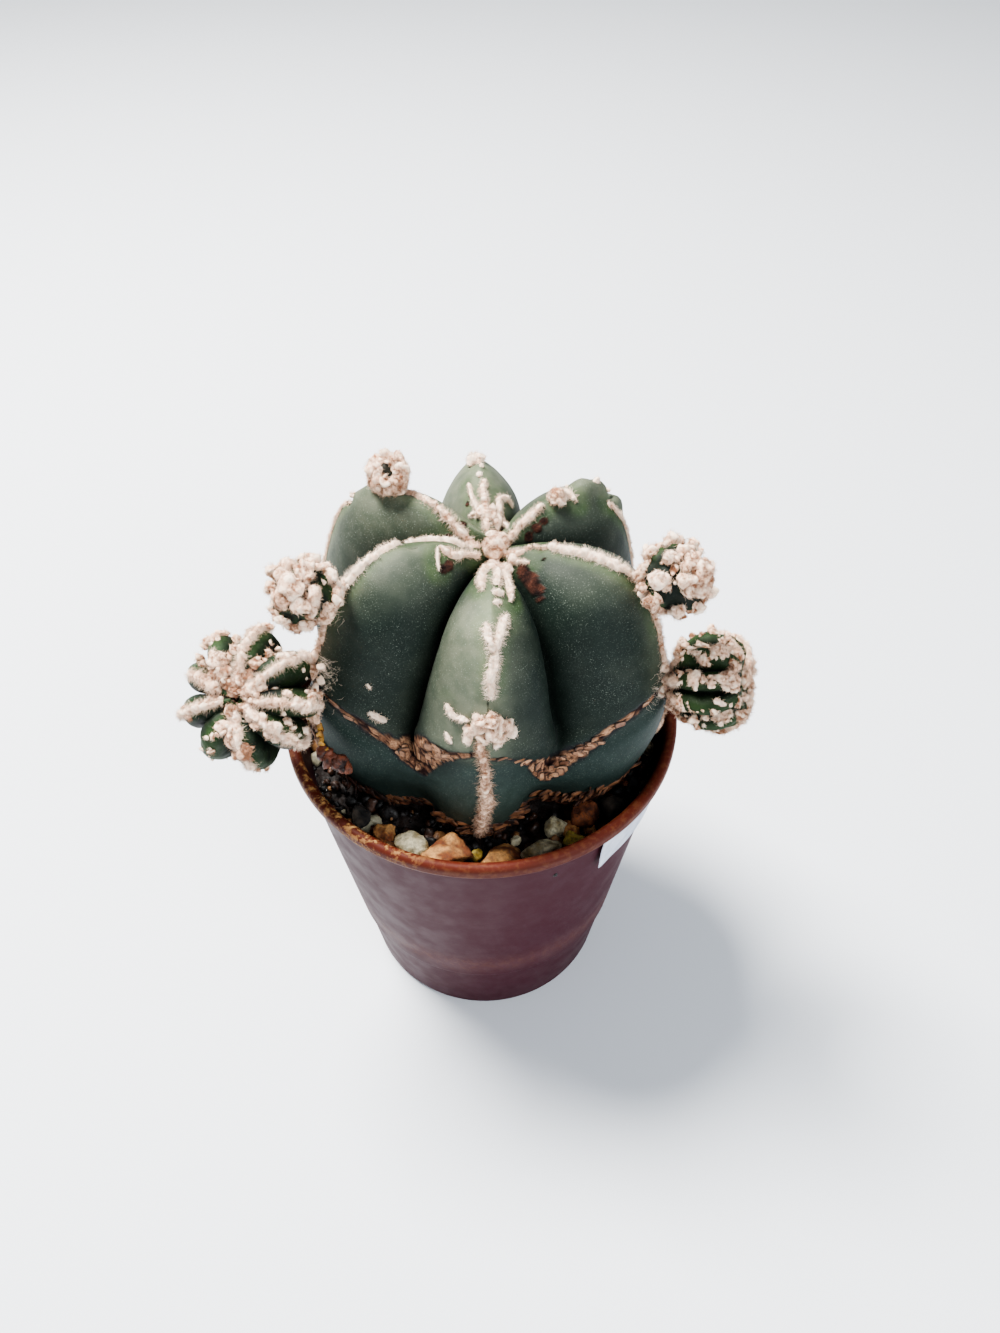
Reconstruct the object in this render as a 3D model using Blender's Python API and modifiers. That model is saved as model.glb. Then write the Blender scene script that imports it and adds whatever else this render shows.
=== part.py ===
"""Bishop's cap cactus with its offsets, growing in a round plastic nursery pot.

Metres, +Z up. The origin is the centre of the pot's underside and -Y is the plant's front.
Run it with: blender --background --python part.py
"""

import math
import random
from collections import namedtuple

import bmesh
import bpy
import numpy as np
from mathutils import Matrix, Vector

MM = 0.001
TOUCH_GAP = 0.3 * MM  # clearance kept between pieces that touch

# Pot
POT_HEIGHT = 54.0 * MM
RIM_RADIUS = 27.5 * MM
RIM_DEPTH = 1.9 * MM
MOUTH_RADIUS = 25.9 * MM
NECK_RADIUS = 26.6 * MM  # outer wall just under the rim
FOOT_RADIUS = 19.7 * MM
FOOT_ROUNDING = 1.2 * MM
STEP_HEIGHT = 14.0 * MM  # the wall narrows a little below this level
STEP_IN = 0.3 * MM
WALL = 1.0 * MM
DRAIN_COUNT = 4
DRAIN_RADIUS = 1.9 * MM
DRAIN_CIRCLE = 11.0 * MM
POT_SEGMENTS = 60

# Potting mix
MIX_TOP = 47.4 * MM

# Blank price sticker on the wall under the rim
LABEL_FROM, LABEL_TO = -53.0, -24.0  # azimuth, degrees
LABEL_TOP = 51.4 * MM
LABEL_DROP = 7.2 * MM
LABEL_THICKNESS = 0.25 * MM

# Stem: each rib's crest and each furrow between two ribs follow one of these outlines, from the
# sunken crown to the root tip. Each point is (radius as a share of the rib's reach, height in mm).
CREST_OUTLINE = (
    (0, 81.2), (0.12, 82.3), (0.30, 83.7), (0.50, 84.0), (0.68, 83.0), (0.80, 80.2), (0.88, 76.3),
    (0.94, 71.8), (0.985, 68.6), (0.985, 66.5), (1.01, 64.5), (1.01, 60.5), (0.98, 56.0),
    (0.93, 52.0), (0.86, 48.5), (0.70, 46.0), (0.45, 44.5), (0.20, 42.0), (0.15, 34.0),
    (0.09, 28.0), (0, 26.0),
)
FURROW_OUTLINE = (
    (0, 80.6), (0.11, 80.3), (0.24, 79.3), (0.34, 77.6), (0.41, 75.2), (0.45, 72.4), (0.48, 69.4),
    (0.51, 66.4), (0.58, 63.6), (0.76, 61.2), (0.85, 59.3), (0.875, 57.2), (0.86, 54.0),
    (0.83, 51.0), (0.78, 48.3), (0.66, 46.0), (0.42, 44.5), (0.20, 42.0), (0.15, 34.0),
    (0.09, 28.0), (0, 26.0),
)
RINGS = len(CREST_OUTLINE) - 1
SCAR_RING = 9  # the growth scar: deep furrows above it, shallow ones below
BURIED_RING = 15  # from here down the stem is in the mix
LEAN = Vector((1.6 * MM, -0.6 * MM))  # how far the crown stands off the pot's axis
LEAN_FROM, LEAN_RISE = 50.0 * MM, 32.0 * MM
LIFT_FROM, LIFT_RISE = 66.0 * MM, 16.0 * MM
HALF_RIB_SHARES = (0.0, 0.3, 0.55, 0.75, 0.9)  # where a half rib's cross-section has its points

Rib = namedtuple("Rib", "name azimuth reach lift keel")  # keel: 0 is a swollen rib, 1 a sharp one
RIBS = (
    Rib("back_right", 33, 23.7 * MM, 2.2 * MM, 0.2),
    Rib("back", 98, 22.4 * MM, 2.4 * MM, 0.7),
    Rib("back_left", 156, 25.4 * MM, 3.0 * MM, 0.2),
    Rib("front_left", 199, 23.6 * MM, 1.4 * MM, 0.1),
    Rib("front", 270, 20.8 * MM, 0.0, 0.0),
    Rib("front_right", 340, 24.4 * MM, 1.2 * MM, 0.1),
)

# Felted wool along the crests: (rib, where, first ring, last ring, half width)
WOOL_STRIPS = (
    ("front", "crown", 1.3, 2.4, 2.0 * MM),
    ("front", "upper", 3.1, 6.0, 1.1 * MM),
    ("front", "lower", 7.6, 13.4, 0.9 * MM),
    ("front_right", "crown", 1.3, 3.9, 0.9 * MM),
    ("front_right", "side", 5.6, 6.9, 0.6 * MM),
    ("back_right", "crown", 1.3, 2.0, 0.9 * MM),
    ("back_right", "side", 5.0, 9.0, 0.6 * MM),
    ("back", "crown", 1.3, 2.7, 1.5 * MM),
    ("back", "side", 4.2, 9.0, 0.7 * MM),
    ("back_left", "crown", 1.3, 2.3, 1.0 * MM),
    ("back_left", "side", 4.9, 9.0, 0.6 * MM),
    ("front_left", "crown", 1.3, 2.3, 0.9 * MM),
    ("front_left", "upper", 2.8, 4.1, 1.0 * MM),
    ("front_left", "side", 5.9, 6.9, 0.6 * MM),
)
WOOL_CLEAR = 0.45 * MM
WOOL_THICKNESS = 0.8 * MM

# Offsets: small plants on the ribs' areoles. centre, axis (base to tip), radius, half length,
# ribs round it, rib depth as a share of the radius, and whether the ribs are broken into bumps
Offset = namedtuple("Offset", "name centre axis radius half ribs depth bumpy")
OFFSETS = (
    Offset("offset_back_left_bud", (-10.8, 5.6, 89.1), (-0.1, -0.5, 0.85), 2.5, 2.3, 5, 0.08, True),
    Offset("offset_left_upper", (-20.0, -8.7, 82.8), (-0.45, -0.55, 0.7), 4.3, 4.3, 8, 0.10, True),
    Offset("offset_left_lower", (-28.1, -11.9, 67.2), (-0.18, -0.64, 0.75), 8.9, 6.3, 8, 0.20, False),
    Offset("offset_right_upper", (22.3, -8.7, 85.1), (0.6, -0.45, 0.65), 4.6, 4.5, 8, 0.10, True),
    Offset("offset_right_lower", (28.9, -9.6, 68.7), (0.9, -0.3, 0.3), 6.6, 5.0, 7, 0.18, False),
    Offset("areole_bud_back_right", (9.4, 4.1, 87.5), (0.2, 0.1, 1.0), 1.3, 1.1, 5, 0.06, True),
)
OFFSET_RING_POINTS = 4  # for each rib of an offset

# Woolly tufts that sit on the stem: centre, axis, radius, half length
Tuft = namedtuple("Tuft", "name centre axis radius half")
TUFTS = (
    Tuft("wool_crown_tuft", (2.3, -0.3, 85.5), (0, -0.1, 1), 2.3, 1.7),
    Tuft("wool_front_areole", (1.5, -22.1, 74.0), (0, -1, 0.3), 2.5, 0.8),
)

# Stones on the mix: azimuth, distance from the axis, half sizes round, across and up
Stone = namedtuple("Stone", "kind azimuth reach half")
STONES = (
    Stone("tan", -101, 22.2, (2.7, 1.9, 1.8)),
    Stone("pale", -114, 22.7, (2.1, 1.5, 1.4)),
    Stone("tan", -124.5, 22.6, (1.6, 1.3, 1.1)),
    Stone("tan", -82, 22.6, (2.3, 1.7, 1.3)),
    Stone("pale", -69, 22.8, (2.2, 1.5, 1.5)),
    Stone("pale", -60, 20.3, (1.5, 1.2, 1.3)),
    Stone("yellow", -58.5, 23.2, (1.3, 1.1, 1.2)),
    Stone("brown", -49, 21.4, (1.5, 1.9, 1.6)),
    Stone("dark", -39, 22.6, (1.7, 1.4, 1.2)),
    Stone("pale", -9, 24.0, (1.2, 0.7, 1.0)),
    Stone("dark", -136, 22.4, (1.7, 1.5, 1.2)),
    Stone("brown", 8, 22.4, (2.0, 1.6, 1.4)),
    Stone("tan", 57, 21.9, (2.3, 1.8, 1.5)),
    Stone("dark", 69, 22.2, (1.7, 1.6, 1.2)),
    Stone("pale", 116, 22.2, (1.8, 1.6, 1.3)),
    Stone("brown", 128, 22.3, (2.2, 1.7, 1.6)),
    Stone("tan", 176, 22.6, (2.0, 1.6, 1.4)),
)
STONE_SEED = 11
STONE_ROUGHNESS = 0.10

COLOURS = {
    "pot": ((0.36, 0.15, 0.12), 0.42),
    "mix": ((0.045, 0.03, 0.022), 0.95),
    "stem": ((0.055, 0.105, 0.065), 0.62),
    "wool": ((0.80, 0.68, 0.58), 1.0),
    "label": ((0.82, 0.84, 0.88), 0.55),
    "tan": ((0.48, 0.30, 0.14), 0.9),
    "pale": ((0.66, 0.64, 0.54), 0.9),
    "brown": ((0.26, 0.12, 0.06), 0.9),
    "dark": ((0.05, 0.045, 0.04), 0.8),
    "yellow": ((0.70, 0.58, 0.16), 0.85),
}


def clear_scene():
    for obj in list(bpy.data.objects):
        bpy.data.objects.remove(obj, do_unlink=True)


def new_collection(name):
    collection = bpy.data.collections.new(name)
    bpy.context.scene.collection.children.link(collection)
    return collection


def finish_for(kind):
    """The Principled material of that kind, made once."""
    if kind in bpy.data.materials:
        return bpy.data.materials[kind]
    colour, roughness = COLOURS[kind]
    material = bpy.data.materials.new(kind)
    material.use_nodes = True
    shader = material.node_tree.nodes["Principled BSDF"]
    shader.inputs["Base Color"].default_value = (*colour, 1.0)
    shader.inputs["Roughness"].default_value = roughness
    shader.inputs["Metallic"].default_value = 0.0
    return material


def add_object(name, work, kind, collection, sharp_degrees=40):
    """A new object from a bmesh, shaded smooth but for edges sharper than that."""
    mesh = bpy.data.meshes.new(name)
    work.to_mesh(mesh)
    work.free()
    mesh.shade_smooth()
    mesh.set_sharp_from_angle(angle=math.radians(sharp_degrees))
    mesh.materials.append(finish_for(kind))
    obj = bpy.data.objects.new(name, mesh)
    collection.objects.link(obj)
    return obj


def loft(rings):
    """A closed solid through rings of equal point count, where a ring of one point is a pole."""
    work = bmesh.new()
    loops = [[work.verts.new(point) for point in ring] for ring in rings]
    for upper, lower in zip(loops, loops[1:]):
        count = max(len(upper), len(lower))
        for i in range(count):
            j = (i + 1) % count
            low_start, low_end = lower[i % len(lower)], lower[j % len(lower)]
            corners = [upper[i % len(upper)], low_start, low_end, upper[j % len(upper)]]
            work.faces.new(list(dict.fromkeys(corners)))
    for end in (loops[0], loops[-1]):
        if len(end) > 1:
            work.faces.new(end)
    bmesh.ops.recalc_face_normals(work, faces=work.faces)
    return work


def along_spline(outline, place):
    """The point of a Catmull-Rom spline at that place. Whole numbers are the outline's own points."""
    last = len(outline) - 1
    place = min(max(place, 0.0), last)
    i = min(int(place), last - 1)
    t = place - i
    before, start, end, after = (np.array(outline[min(max(k, 0), last)]) for k in range(i - 1, i + 3))
    return 0.5 * (
        2 * start
        + (end - before) * t
        + (2 * before - 5 * start + 4 * end - after) * t**2
        + (3 * start - before - 3 * end + after) * t**3
    )


def rib_share(azimuth):
    """The rib there, the share of the way from its crest to the next furrow, its reach and lift."""
    for i, rib in enumerate(RIBS):
        for step in (1, -1):
            other = RIBS[(i + step) % len(RIBS)]
            to_other = (other.azimuth - rib.azimuth) * step % 360
            to_here = (azimuth - rib.azimuth) * step % 360
            if to_here <= to_other / 2 + 1e-9:
                t = to_here / to_other
                mixed = t * t * (3 - 2 * t)
                reach = rib.reach + (other.reach - rib.reach) * mixed
                lift = rib.lift + (other.lift - rib.lift) * mixed
                return rib, min(2 * t, 1.0), reach, lift
    raise ValueError(azimuth)


def lean_at(height):
    """How far the stem's own axis stands off the pot's axis at that height."""
    return LEAN * min(max((height - LEAN_FROM) / LEAN_RISE, 0.0), 1.0)


def stem_point(azimuth, ring):
    """A point of the stem's skin. Ring 0 is the crown and ring RINGS is the root tip."""
    rib, share, reach, lift = rib_share(azimuth)
    crest = along_spline(CREST_OUTLINE, ring)
    furrow = along_spline(FURROW_OUTLINE, ring)
    above_scar = 1 / (1 + math.exp((ring - SCAR_RING) * 4))
    swollen = math.sqrt(max(1 - share**4, 0.0)) * (1 - 0.25 * share)
    swollen += rib.keel * ((1 - share) * (1 + 0.35 * share) - swollen)
    gentle = 0.5 + 0.5 * math.cos(math.pi * share)
    mix = above_scar * swollen + (1 - above_scar) * gentle
    radius = (furrow[0] + (crest[0] - furrow[0]) * mix) * reach
    raised = min(max((crest[1] * MM - LIFT_FROM) / LIFT_RISE, 0.0), 1.0)
    height = (furrow[1] + (crest[1] - furrow[1]) * mix) * MM + lift * raised
    lean = lean_at(height)
    angle = math.radians(azimuth)
    return Vector((lean.x + radius * math.cos(angle), lean.y + radius * math.sin(angle), height))


def stem_azimuths():
    """Azimuths round the stem with a point on every crest and every furrow, and the same few between."""
    found = []
    for i, rib in enumerate(RIBS):
        following = RIBS[(i + 1) % len(RIBS)]
        half = (following.azimuth - rib.azimuth) % 360 / 2
        found += [rib.azimuth + half * share for share in HALF_RIB_SHARES]
        found += [rib.azimuth + half]
        found += [rib.azimuth + half * (2 - share) for share in reversed(HALF_RIB_SHARES[1:])]
    return found


def build_stem(collection):
    azimuths = stem_azimuths()
    rings = [[stem_point(a, ring) for a in azimuths] for ring in range(1, RINGS)]
    return add_object(
        "stem", loft([[stem_point(0, 0)], *rings, [stem_point(0, RINGS)]]), "stem", collection
    )


def wall_radius(height, inside):
    """The pot wall's radius at that height, on its outside or its inside."""
    share = height / POT_HEIGHT
    outer = FOOT_RADIUS + (NECK_RADIUS - FOOT_RADIUS) * share
    if height < STEP_HEIGHT:
        outer -= STEP_IN
    return outer - WALL if inside else outer


def pot_profile():
    """Half section of the pot, from the floor's middle up the inside, over the rim and down the outside."""
    inner = [(wall_radius(z, True), z) for z in (WALL, STEP_HEIGHT * 0.99, STEP_HEIGHT * 1.01)]
    mouth = [(wall_radius(POT_HEIGHT - RIM_DEPTH * 1.6, True), POT_HEIGHT - RIM_DEPTH * 1.6)]
    middle = (MOUTH_RADIUS + RIM_RADIUS) / 2
    half = (RIM_RADIUS - MOUTH_RADIUS) / 2
    over = [
        (middle - half * math.cos(math.radians(a)), POT_HEIGHT - half + half * math.sin(math.radians(a)))
        for a in (0, 45, 90, 135, 180)
    ]
    under = [(RIM_RADIUS, POT_HEIGHT - RIM_DEPTH), (NECK_RADIUS, POT_HEIGHT - RIM_DEPTH * 1.1)]
    outer = [(wall_radius(z, False), z) for z in (STEP_HEIGHT * 1.01, STEP_HEIGHT * 0.99)]
    foot_wall = wall_radius(FOOT_ROUNDING, False)
    foot = [
        (
            foot_wall - FOOT_ROUNDING * (1 - math.cos(math.radians(a))),
            FOOT_ROUNDING * (1 - math.sin(math.radians(a))),
        )
        for a in (0, 45, 90)
    ]
    return [(0, WALL), *inner, *mouth, *over, *under, *outer, *foot, (0, 0)]


def turned(name, profile, kind, collection, segments):
    """An object turned about Z from a half section, by a Screw modifier."""
    work = bmesh.new()
    points = [work.verts.new((radius, 0, height)) for radius, height in profile]
    for start, end in zip(points, points[1:]):
        work.edges.new((start, end))
    obj = add_object(name, work, kind, collection)
    screw = obj.modifiers.new("turn", "SCREW")
    screw.angle = math.tau
    screw.steps = segments
    screw.render_steps = segments
    screw.use_merge_vertices = True
    screw.merge_threshold = 0.00001
    screw.use_smooth_shade = True
    return obj


def build_pot(collection, cutters):
    pot = turned("pot", pot_profile(), "pot", collection, POT_SEGMENTS)
    for i in range(DRAIN_COUNT):
        angle = math.radians(45 + 360 * i / DRAIN_COUNT)
        bpy.ops.mesh.primitive_cylinder_add(
            vertices=16,
            radius=DRAIN_RADIUS,
            depth=WALL * 6,
            location=(DRAIN_CIRCLE * math.cos(angle), DRAIN_CIRCLE * math.sin(angle), 0),
        )
        cutter = bpy.context.active_object
        cutter.name = f"drain_cutter_{i + 1}"
        cutter.hide_render = True
        cutter.display_type = "WIRE"
        for owner in list(cutter.users_collection):
            owner.objects.unlink(cutter)
        cutters.objects.link(cutter)
        drain = pot.modifiers.new(f"drain_{i + 1}", "BOOLEAN")
        drain.operation = "DIFFERENCE"
        drain.object = cutter
    return pot


def build_mix(collection):
    """The potting mix: a plug that fills the pot, with a hollow that fits the stem's buried end."""
    azimuths = stem_azimuths()
    floor = WALL + TOUCH_GAP

    def circle(height):
        radius = wall_radius(height, True) - 1.2 * TOUCH_GAP
        return [
            Vector((radius * math.cos(math.radians(a)), radius * math.sin(math.radians(a)), height))
            for a in azimuths
        ]

    def round_stem(ring, out, down):
        found = []
        for a in azimuths:
            point = stem_point(a, ring)
            away = Vector((point.x, point.y, 0)).normalized() * out
            found.append(point + away - Vector((0, 0, down)))
        return found

    lip = round_stem(BURIED_RING - 0.75, 2 * TOUCH_GAP, 0)
    for point in lip:
        point.z = MIX_TOP
    hollow = [round_stem(ring, 2 * TOUCH_GAP, 2 * TOUCH_GAP) for ring in range(BURIED_RING, RINGS)]
    tip = stem_point(0, RINGS) - Vector((0, 0, 2 * TOUCH_GAP))
    wall = [circle(z) for z in (floor, STEP_HEIGHT * 0.97, STEP_HEIGHT * 1.03, MIX_TOP)]
    rings = [[Vector((0, 0, floor))], *wall, lip, *hollow, [tip]]
    return add_object("potting_mix", loft(rings), "mix", collection)


def build_wool_strip(rib_name, where, first, last, half_width, collection):
    """A felted strip that follows a rib's crest, a little clear of the skin."""
    rib = next(r for r in RIBS if r.name == rib_name)
    outward = Vector((math.cos(math.radians(rib.azimuth)), math.sin(math.radians(rib.azimuth)), 0))
    stops = sorted({first, last, *range(math.ceil(first), math.floor(last) + 1)})
    sections = []
    for ring in stops:
        crest = stem_point(rib.azimuth, ring)
        tangent = stem_point(rib.azimuth, ring + 0.1) - stem_point(rib.azimuth, ring - 0.1)
        side = Vector((0, 0, 1)).cross(outward)
        normal = side.cross(tangent).normalized()
        if normal.dot(outward + Vector((0, 0, 1))) < 0:
            normal = -normal
        spread = max((crest.xy - lean_at(crest.z)).length, 2 * MM)
        turn = math.degrees(half_width / spread)
        left, right = (stem_point(rib.azimuth + s * turn, ring) for s in (1, -1))
        sections.append(
            [
                left + normal * WOOL_CLEAR,
                crest + normal * WOOL_CLEAR,
                right + normal * WOOL_CLEAR,
                right + normal * (WOOL_CLEAR + WOOL_THICKNESS * 0.7),
                crest + normal * (WOOL_CLEAR + WOOL_THICKNESS),
                left + normal * (WOOL_CLEAR + WOOL_THICKNESS * 0.7),
            ]
        )
    return add_object(f"wool_{rib_name}_{where}", loft(sections), "wool", collection)


def place_on_axis(obj, centre, axis):
    """Puts an object modelled along +Z at a centre given in millimetres, pointing along the axis."""
    obj.rotation_mode = "QUATERNION"
    obj.rotation_quaternion = Vector(axis).to_track_quat("Z", "Y")
    obj.location = Vector(centre) * MM


def build_offset(offset, collection):
    """A small globe with its own ribs, or with rows of bumps, on a narrower base."""
    latitudes = (-62, -35, -8, 18, 42, 66)
    count = offset.ribs * OFFSET_RING_POINTS
    rings = []
    for row, latitude in enumerate(latitudes):
        level = math.radians(latitude)
        narrowing = 0.82 if latitude < -30 else 1.0
        swing = math.pi * (row % 2) if offset.bumpy else 0.0
        ring = []
        for i in range(count):
            turn = math.tau * i / count
            rib = 1 - offset.depth * (0.5 - 0.5 * math.cos(offset.ribs * turn + swing))
            radius = offset.radius * MM * math.cos(level) * rib * narrowing
            height = offset.half * MM * math.sin(level)
            ring.append(Vector((radius * math.cos(turn), radius * math.sin(turn), height)))
        rings.append(ring)
    half = offset.half * MM
    ends = [Vector((0, 0, -half * 0.95))], [Vector((0, 0, half * 0.9))]
    obj = add_object(offset.name, loft([ends[0], *rings, ends[1]]), "stem", collection, 60)
    if offset.bumpy:
        obj.data.materials[0] = finish_for("wool")
    place_on_axis(obj, offset.centre, offset.axis)
    return obj


def build_tuft(tuft, collection):
    """A woolly cushion: a flattened sphere."""
    work = bmesh.new()
    bmesh.ops.create_uvsphere(work, u_segments=16, v_segments=8, radius=1.0)
    size = Vector((tuft.radius, tuft.radius, tuft.half)) * MM
    bmesh.ops.transform(work, matrix=Matrix.Diagonal((*size, 1)), verts=work.verts)
    obj = add_object(tuft.name, work, "wool", collection)
    place_on_axis(obj, tuft.centre, tuft.axis)
    return obj


def build_stone(number, stone, collection):
    """An angular grain: the convex hull of a roughened sphere, resting just above the mix."""
    chance = random.Random(STONE_SEED + number)
    work = bmesh.new()
    bmesh.ops.create_icosphere(work, subdivisions=2, radius=1.0)
    bmesh.ops.delete(work, geom=work.edges[:], context="EDGES_FACES")
    for vert in work.verts:
        vert.co *= 1 + chance.uniform(-STONE_ROUGHNESS, STONE_ROUGHNESS) - STONE_ROUGHNESS
    size = Vector(stone.half) * MM
    bmesh.ops.transform(work, matrix=Matrix.Diagonal((*size, 1)), verts=work.verts)
    bmesh.ops.convex_hull(work, input=work.verts)
    loose = [v for v in work.verts if not v.link_faces]
    bmesh.ops.delete(work, geom=loose, context="VERTS")
    bmesh.ops.recalc_face_normals(work, faces=work.faces)
    obj = add_object(f"stone_{stone.kind}_{number}", work, stone.kind, collection, 20)
    azimuth = math.radians(stone.azimuth)
    reach = stone.reach * MM
    obj.rotation_euler.z = azimuth + math.pi / 2
    height = MIX_TOP + TOUCH_GAP + stone.half[2] * MM
    obj.location = (reach * math.cos(azimuth), reach * math.sin(azimuth), height)
    return obj


def build_label(collection):
    """The blank sticker: a thin patch bent round the wall."""
    work = bmesh.new()
    columns = 8
    grid = []
    for i in range(columns + 1):
        azimuth = math.radians(LABEL_FROM + (LABEL_TO - LABEL_FROM) * i / columns)
        column = []
        for height in (LABEL_TOP, LABEL_TOP - LABEL_DROP):
            radius = wall_radius(height, False) + TOUCH_GAP
            column.append(work.verts.new((radius * math.cos(azimuth), radius * math.sin(azimuth), height)))
        grid.append(column)
    for left, right in zip(grid, grid[1:]):
        work.faces.new((left[1], right[1], right[0], left[0]))
    obj = add_object("price_sticker", work, "label", collection)
    thicken = obj.modifiers.new("paper", "SOLIDIFY")
    thicken.thickness = LABEL_THICKNESS
    thicken.offset = 1.0
    return obj


def main():
    clear_scene()
    part = new_collection("potted_bishops_cap_cactus")
    cutters = new_collection("cutters")
    build_pot(part, cutters)
    build_label(part)
    build_mix(part)
    build_stem(part)
    for strip in WOOL_STRIPS:
        build_wool_strip(*strip, part)
    for tuft in TUFTS:
        build_tuft(tuft, part)
    for offset in OFFSETS:
        build_offset(offset, part)
    for number, stone in enumerate(STONES, 1):
        build_stone(number, stone, part)


main()
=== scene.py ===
"""A potted bishop's cap cactus with its offsets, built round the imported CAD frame.

Shapes are worked out in millimetres in the frame's own axes and scaled to metres when a mesh is made.
"""

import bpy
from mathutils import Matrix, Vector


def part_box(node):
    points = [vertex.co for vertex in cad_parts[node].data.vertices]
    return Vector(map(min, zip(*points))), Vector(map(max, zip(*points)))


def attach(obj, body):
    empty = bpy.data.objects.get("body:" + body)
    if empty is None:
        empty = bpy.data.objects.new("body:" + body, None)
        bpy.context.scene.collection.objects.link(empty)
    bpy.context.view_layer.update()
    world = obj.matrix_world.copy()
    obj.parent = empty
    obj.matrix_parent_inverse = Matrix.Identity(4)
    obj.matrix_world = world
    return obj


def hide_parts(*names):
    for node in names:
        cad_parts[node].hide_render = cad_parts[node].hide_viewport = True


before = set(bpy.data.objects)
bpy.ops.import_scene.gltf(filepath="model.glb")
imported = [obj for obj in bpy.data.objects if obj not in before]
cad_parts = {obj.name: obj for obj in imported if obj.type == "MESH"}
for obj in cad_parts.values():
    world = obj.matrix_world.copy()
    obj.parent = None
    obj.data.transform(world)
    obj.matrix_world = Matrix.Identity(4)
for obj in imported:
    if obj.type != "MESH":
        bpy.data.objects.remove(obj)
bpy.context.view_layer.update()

import itertools
import math

import bmesh
import bpy
import numpy as np
from mathutils import Vector
from mathutils.bvhtree import BVHTree
from mathutils.kdtree import KDTree

MM = 0.001
UP = np.array((0.0, 0.0, 1.0))
CAMERA_PITCH = math.radians(46.72)
CAMERA_PLACE = (0.0026, -0.0931, 0.1602)
CAMERA_LENS = 27.0
EYE = np.array(CAMERA_PLACE) / MM
VIEW_RIGHT = np.array((1.0, 0.0, 0.0))
VIEW_UP = np.array((0.0, math.sin(CAMERA_PITCH), math.cos(CAMERA_PITCH)))

# The stem's outlines along a crest and along a furrow: (share of the rib's reach, height)
CREST = np.array((
    (0, 81.2), (0.12, 82.3), (0.30, 83.7), (0.50, 84.0), (0.68, 83.0), (0.80, 80.2), (0.88, 76.3),
    (0.94, 71.8), (0.985, 68.6), (0.985, 66.5), (1.01, 64.5), (1.01, 60.5), (0.98, 56.0),
    (0.93, 52.0), (0.86, 48.5), (0.70, 46.0),
))
FURROW = np.array((
    (0, 80.6), (0.11, 80.3), (0.24, 79.3), (0.34, 77.6), (0.41, 75.2), (0.45, 72.4), (0.48, 69.4),
    (0.51, 66.4), (0.58, 63.6), (0.76, 61.2), (0.85, 59.3), (0.875, 57.2), (0.86, 54.0),
    (0.83, 51.0), (0.78, 48.3), (0.66, 46.0),
))
SCAR_RING = 9
# azimuth, reach, lift, keel, and how far the furrow after it swings round near the crown and below the scar
RIBS = (
    (33, 23.7, 2.2, 0.25, 0, 0),
    (98, 22.4, 2.4, 0.7, 0, 0),
    (156, 25.4, 3.0, 0.25, 0, 0),
    (199, 23.6, 1.4, 0.12, 4, 9),
    (270, 20.8, 0.0, 0.28, -3, -11),
    (340, 24.4, 1.2, 0.12, 0, 0),
)
STEM_COLUMNS, STEM_ROWS = 37, 224  # columns in each half rib
STEM_LAST_RING = 14.6


def srgb(*levels):
    """A linear colour from 0-255 display levels."""
    return np.array([(v / 255) ** 2.2 for v in levels])


def fade(first, second, share):
    """first where the share is 0 and second where it is 1."""
    return first + (second - first) * share


def smooth(x, low, high):
    """0 below low and 1 above high, eased between."""
    t = np.clip((x - low) / (high - low), 0, 1)
    return t * t * (3 - 2 * t)


def unit(vectors):
    return vectors / np.maximum(np.linalg.norm(vectors, axis=-1, keepdims=True), 1e-9)


# ---------------------------------------------------------------- noise


def lattice(cell, seed):
    x, y, z = (cell[..., i].astype(np.int64) for i in range(3))
    h = (x * 73856093) ^ (y * 19349663) ^ (z * 83492791) ^ (seed * 264544357)
    h = ((h ^ (h >> 13)) * 1274126177) & 0x7FFFFFFF
    h = ((h ^ (h >> 15)) * 668265263) & 0x7FFFFFFF
    return ((h ^ (h >> 12)) & 0xFFFF) / 65535.0


def noise(points, size, seed=0):
    """Smooth noise from -1 to 1 with bumps of about that size."""
    p = np.asarray(points) / size + 100.37
    cell = np.floor(p)
    f = p - cell
    f = f * f * (3 - 2 * f)
    total = 0
    for corner in itertools.product((0, 1), repeat=3):
        weight = np.prod(np.where(corner, f, 1 - f), axis=-1)
        total = total + weight * lattice(cell + corner, seed)
    return 2 * total - 1


def fractal(points, size, octaves=3, seed=0):
    return sum(noise(points, size / 2**k, seed + k) / 2**k for k in range(octaves)) / 1.5


def noise_vectors(points, size, seed=0):
    return np.stack([noise(points, size, seed + 31 * k) for k in range(3)], -1)


def plates(points, size, seed=0):
    """Cracked plates: how far each point is from the nearest crack (0 on it), and its plate's own number."""
    p = np.asarray(points) / size + 57.1
    cell = np.floor(p)
    first = np.full(p.shape[:-1], 9.0)
    second = first.copy()
    number = np.zeros_like(first)
    for corner in itertools.product((-1, 0, 1), repeat=3):
        at = cell + corner
        centre = at + np.stack([lattice(at, seed + k) for k in range(3)], -1)
        d = np.linalg.norm(p - centre, axis=-1)
        nearer = d < first
        second = np.where(nearer, first, np.minimum(second, d))
        number = np.where(nearer, lattice(at, seed + 9), number)
        first = np.where(nearer, d, first)
    return second - first, number


# ---------------------------------------------------------------- meshes


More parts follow.
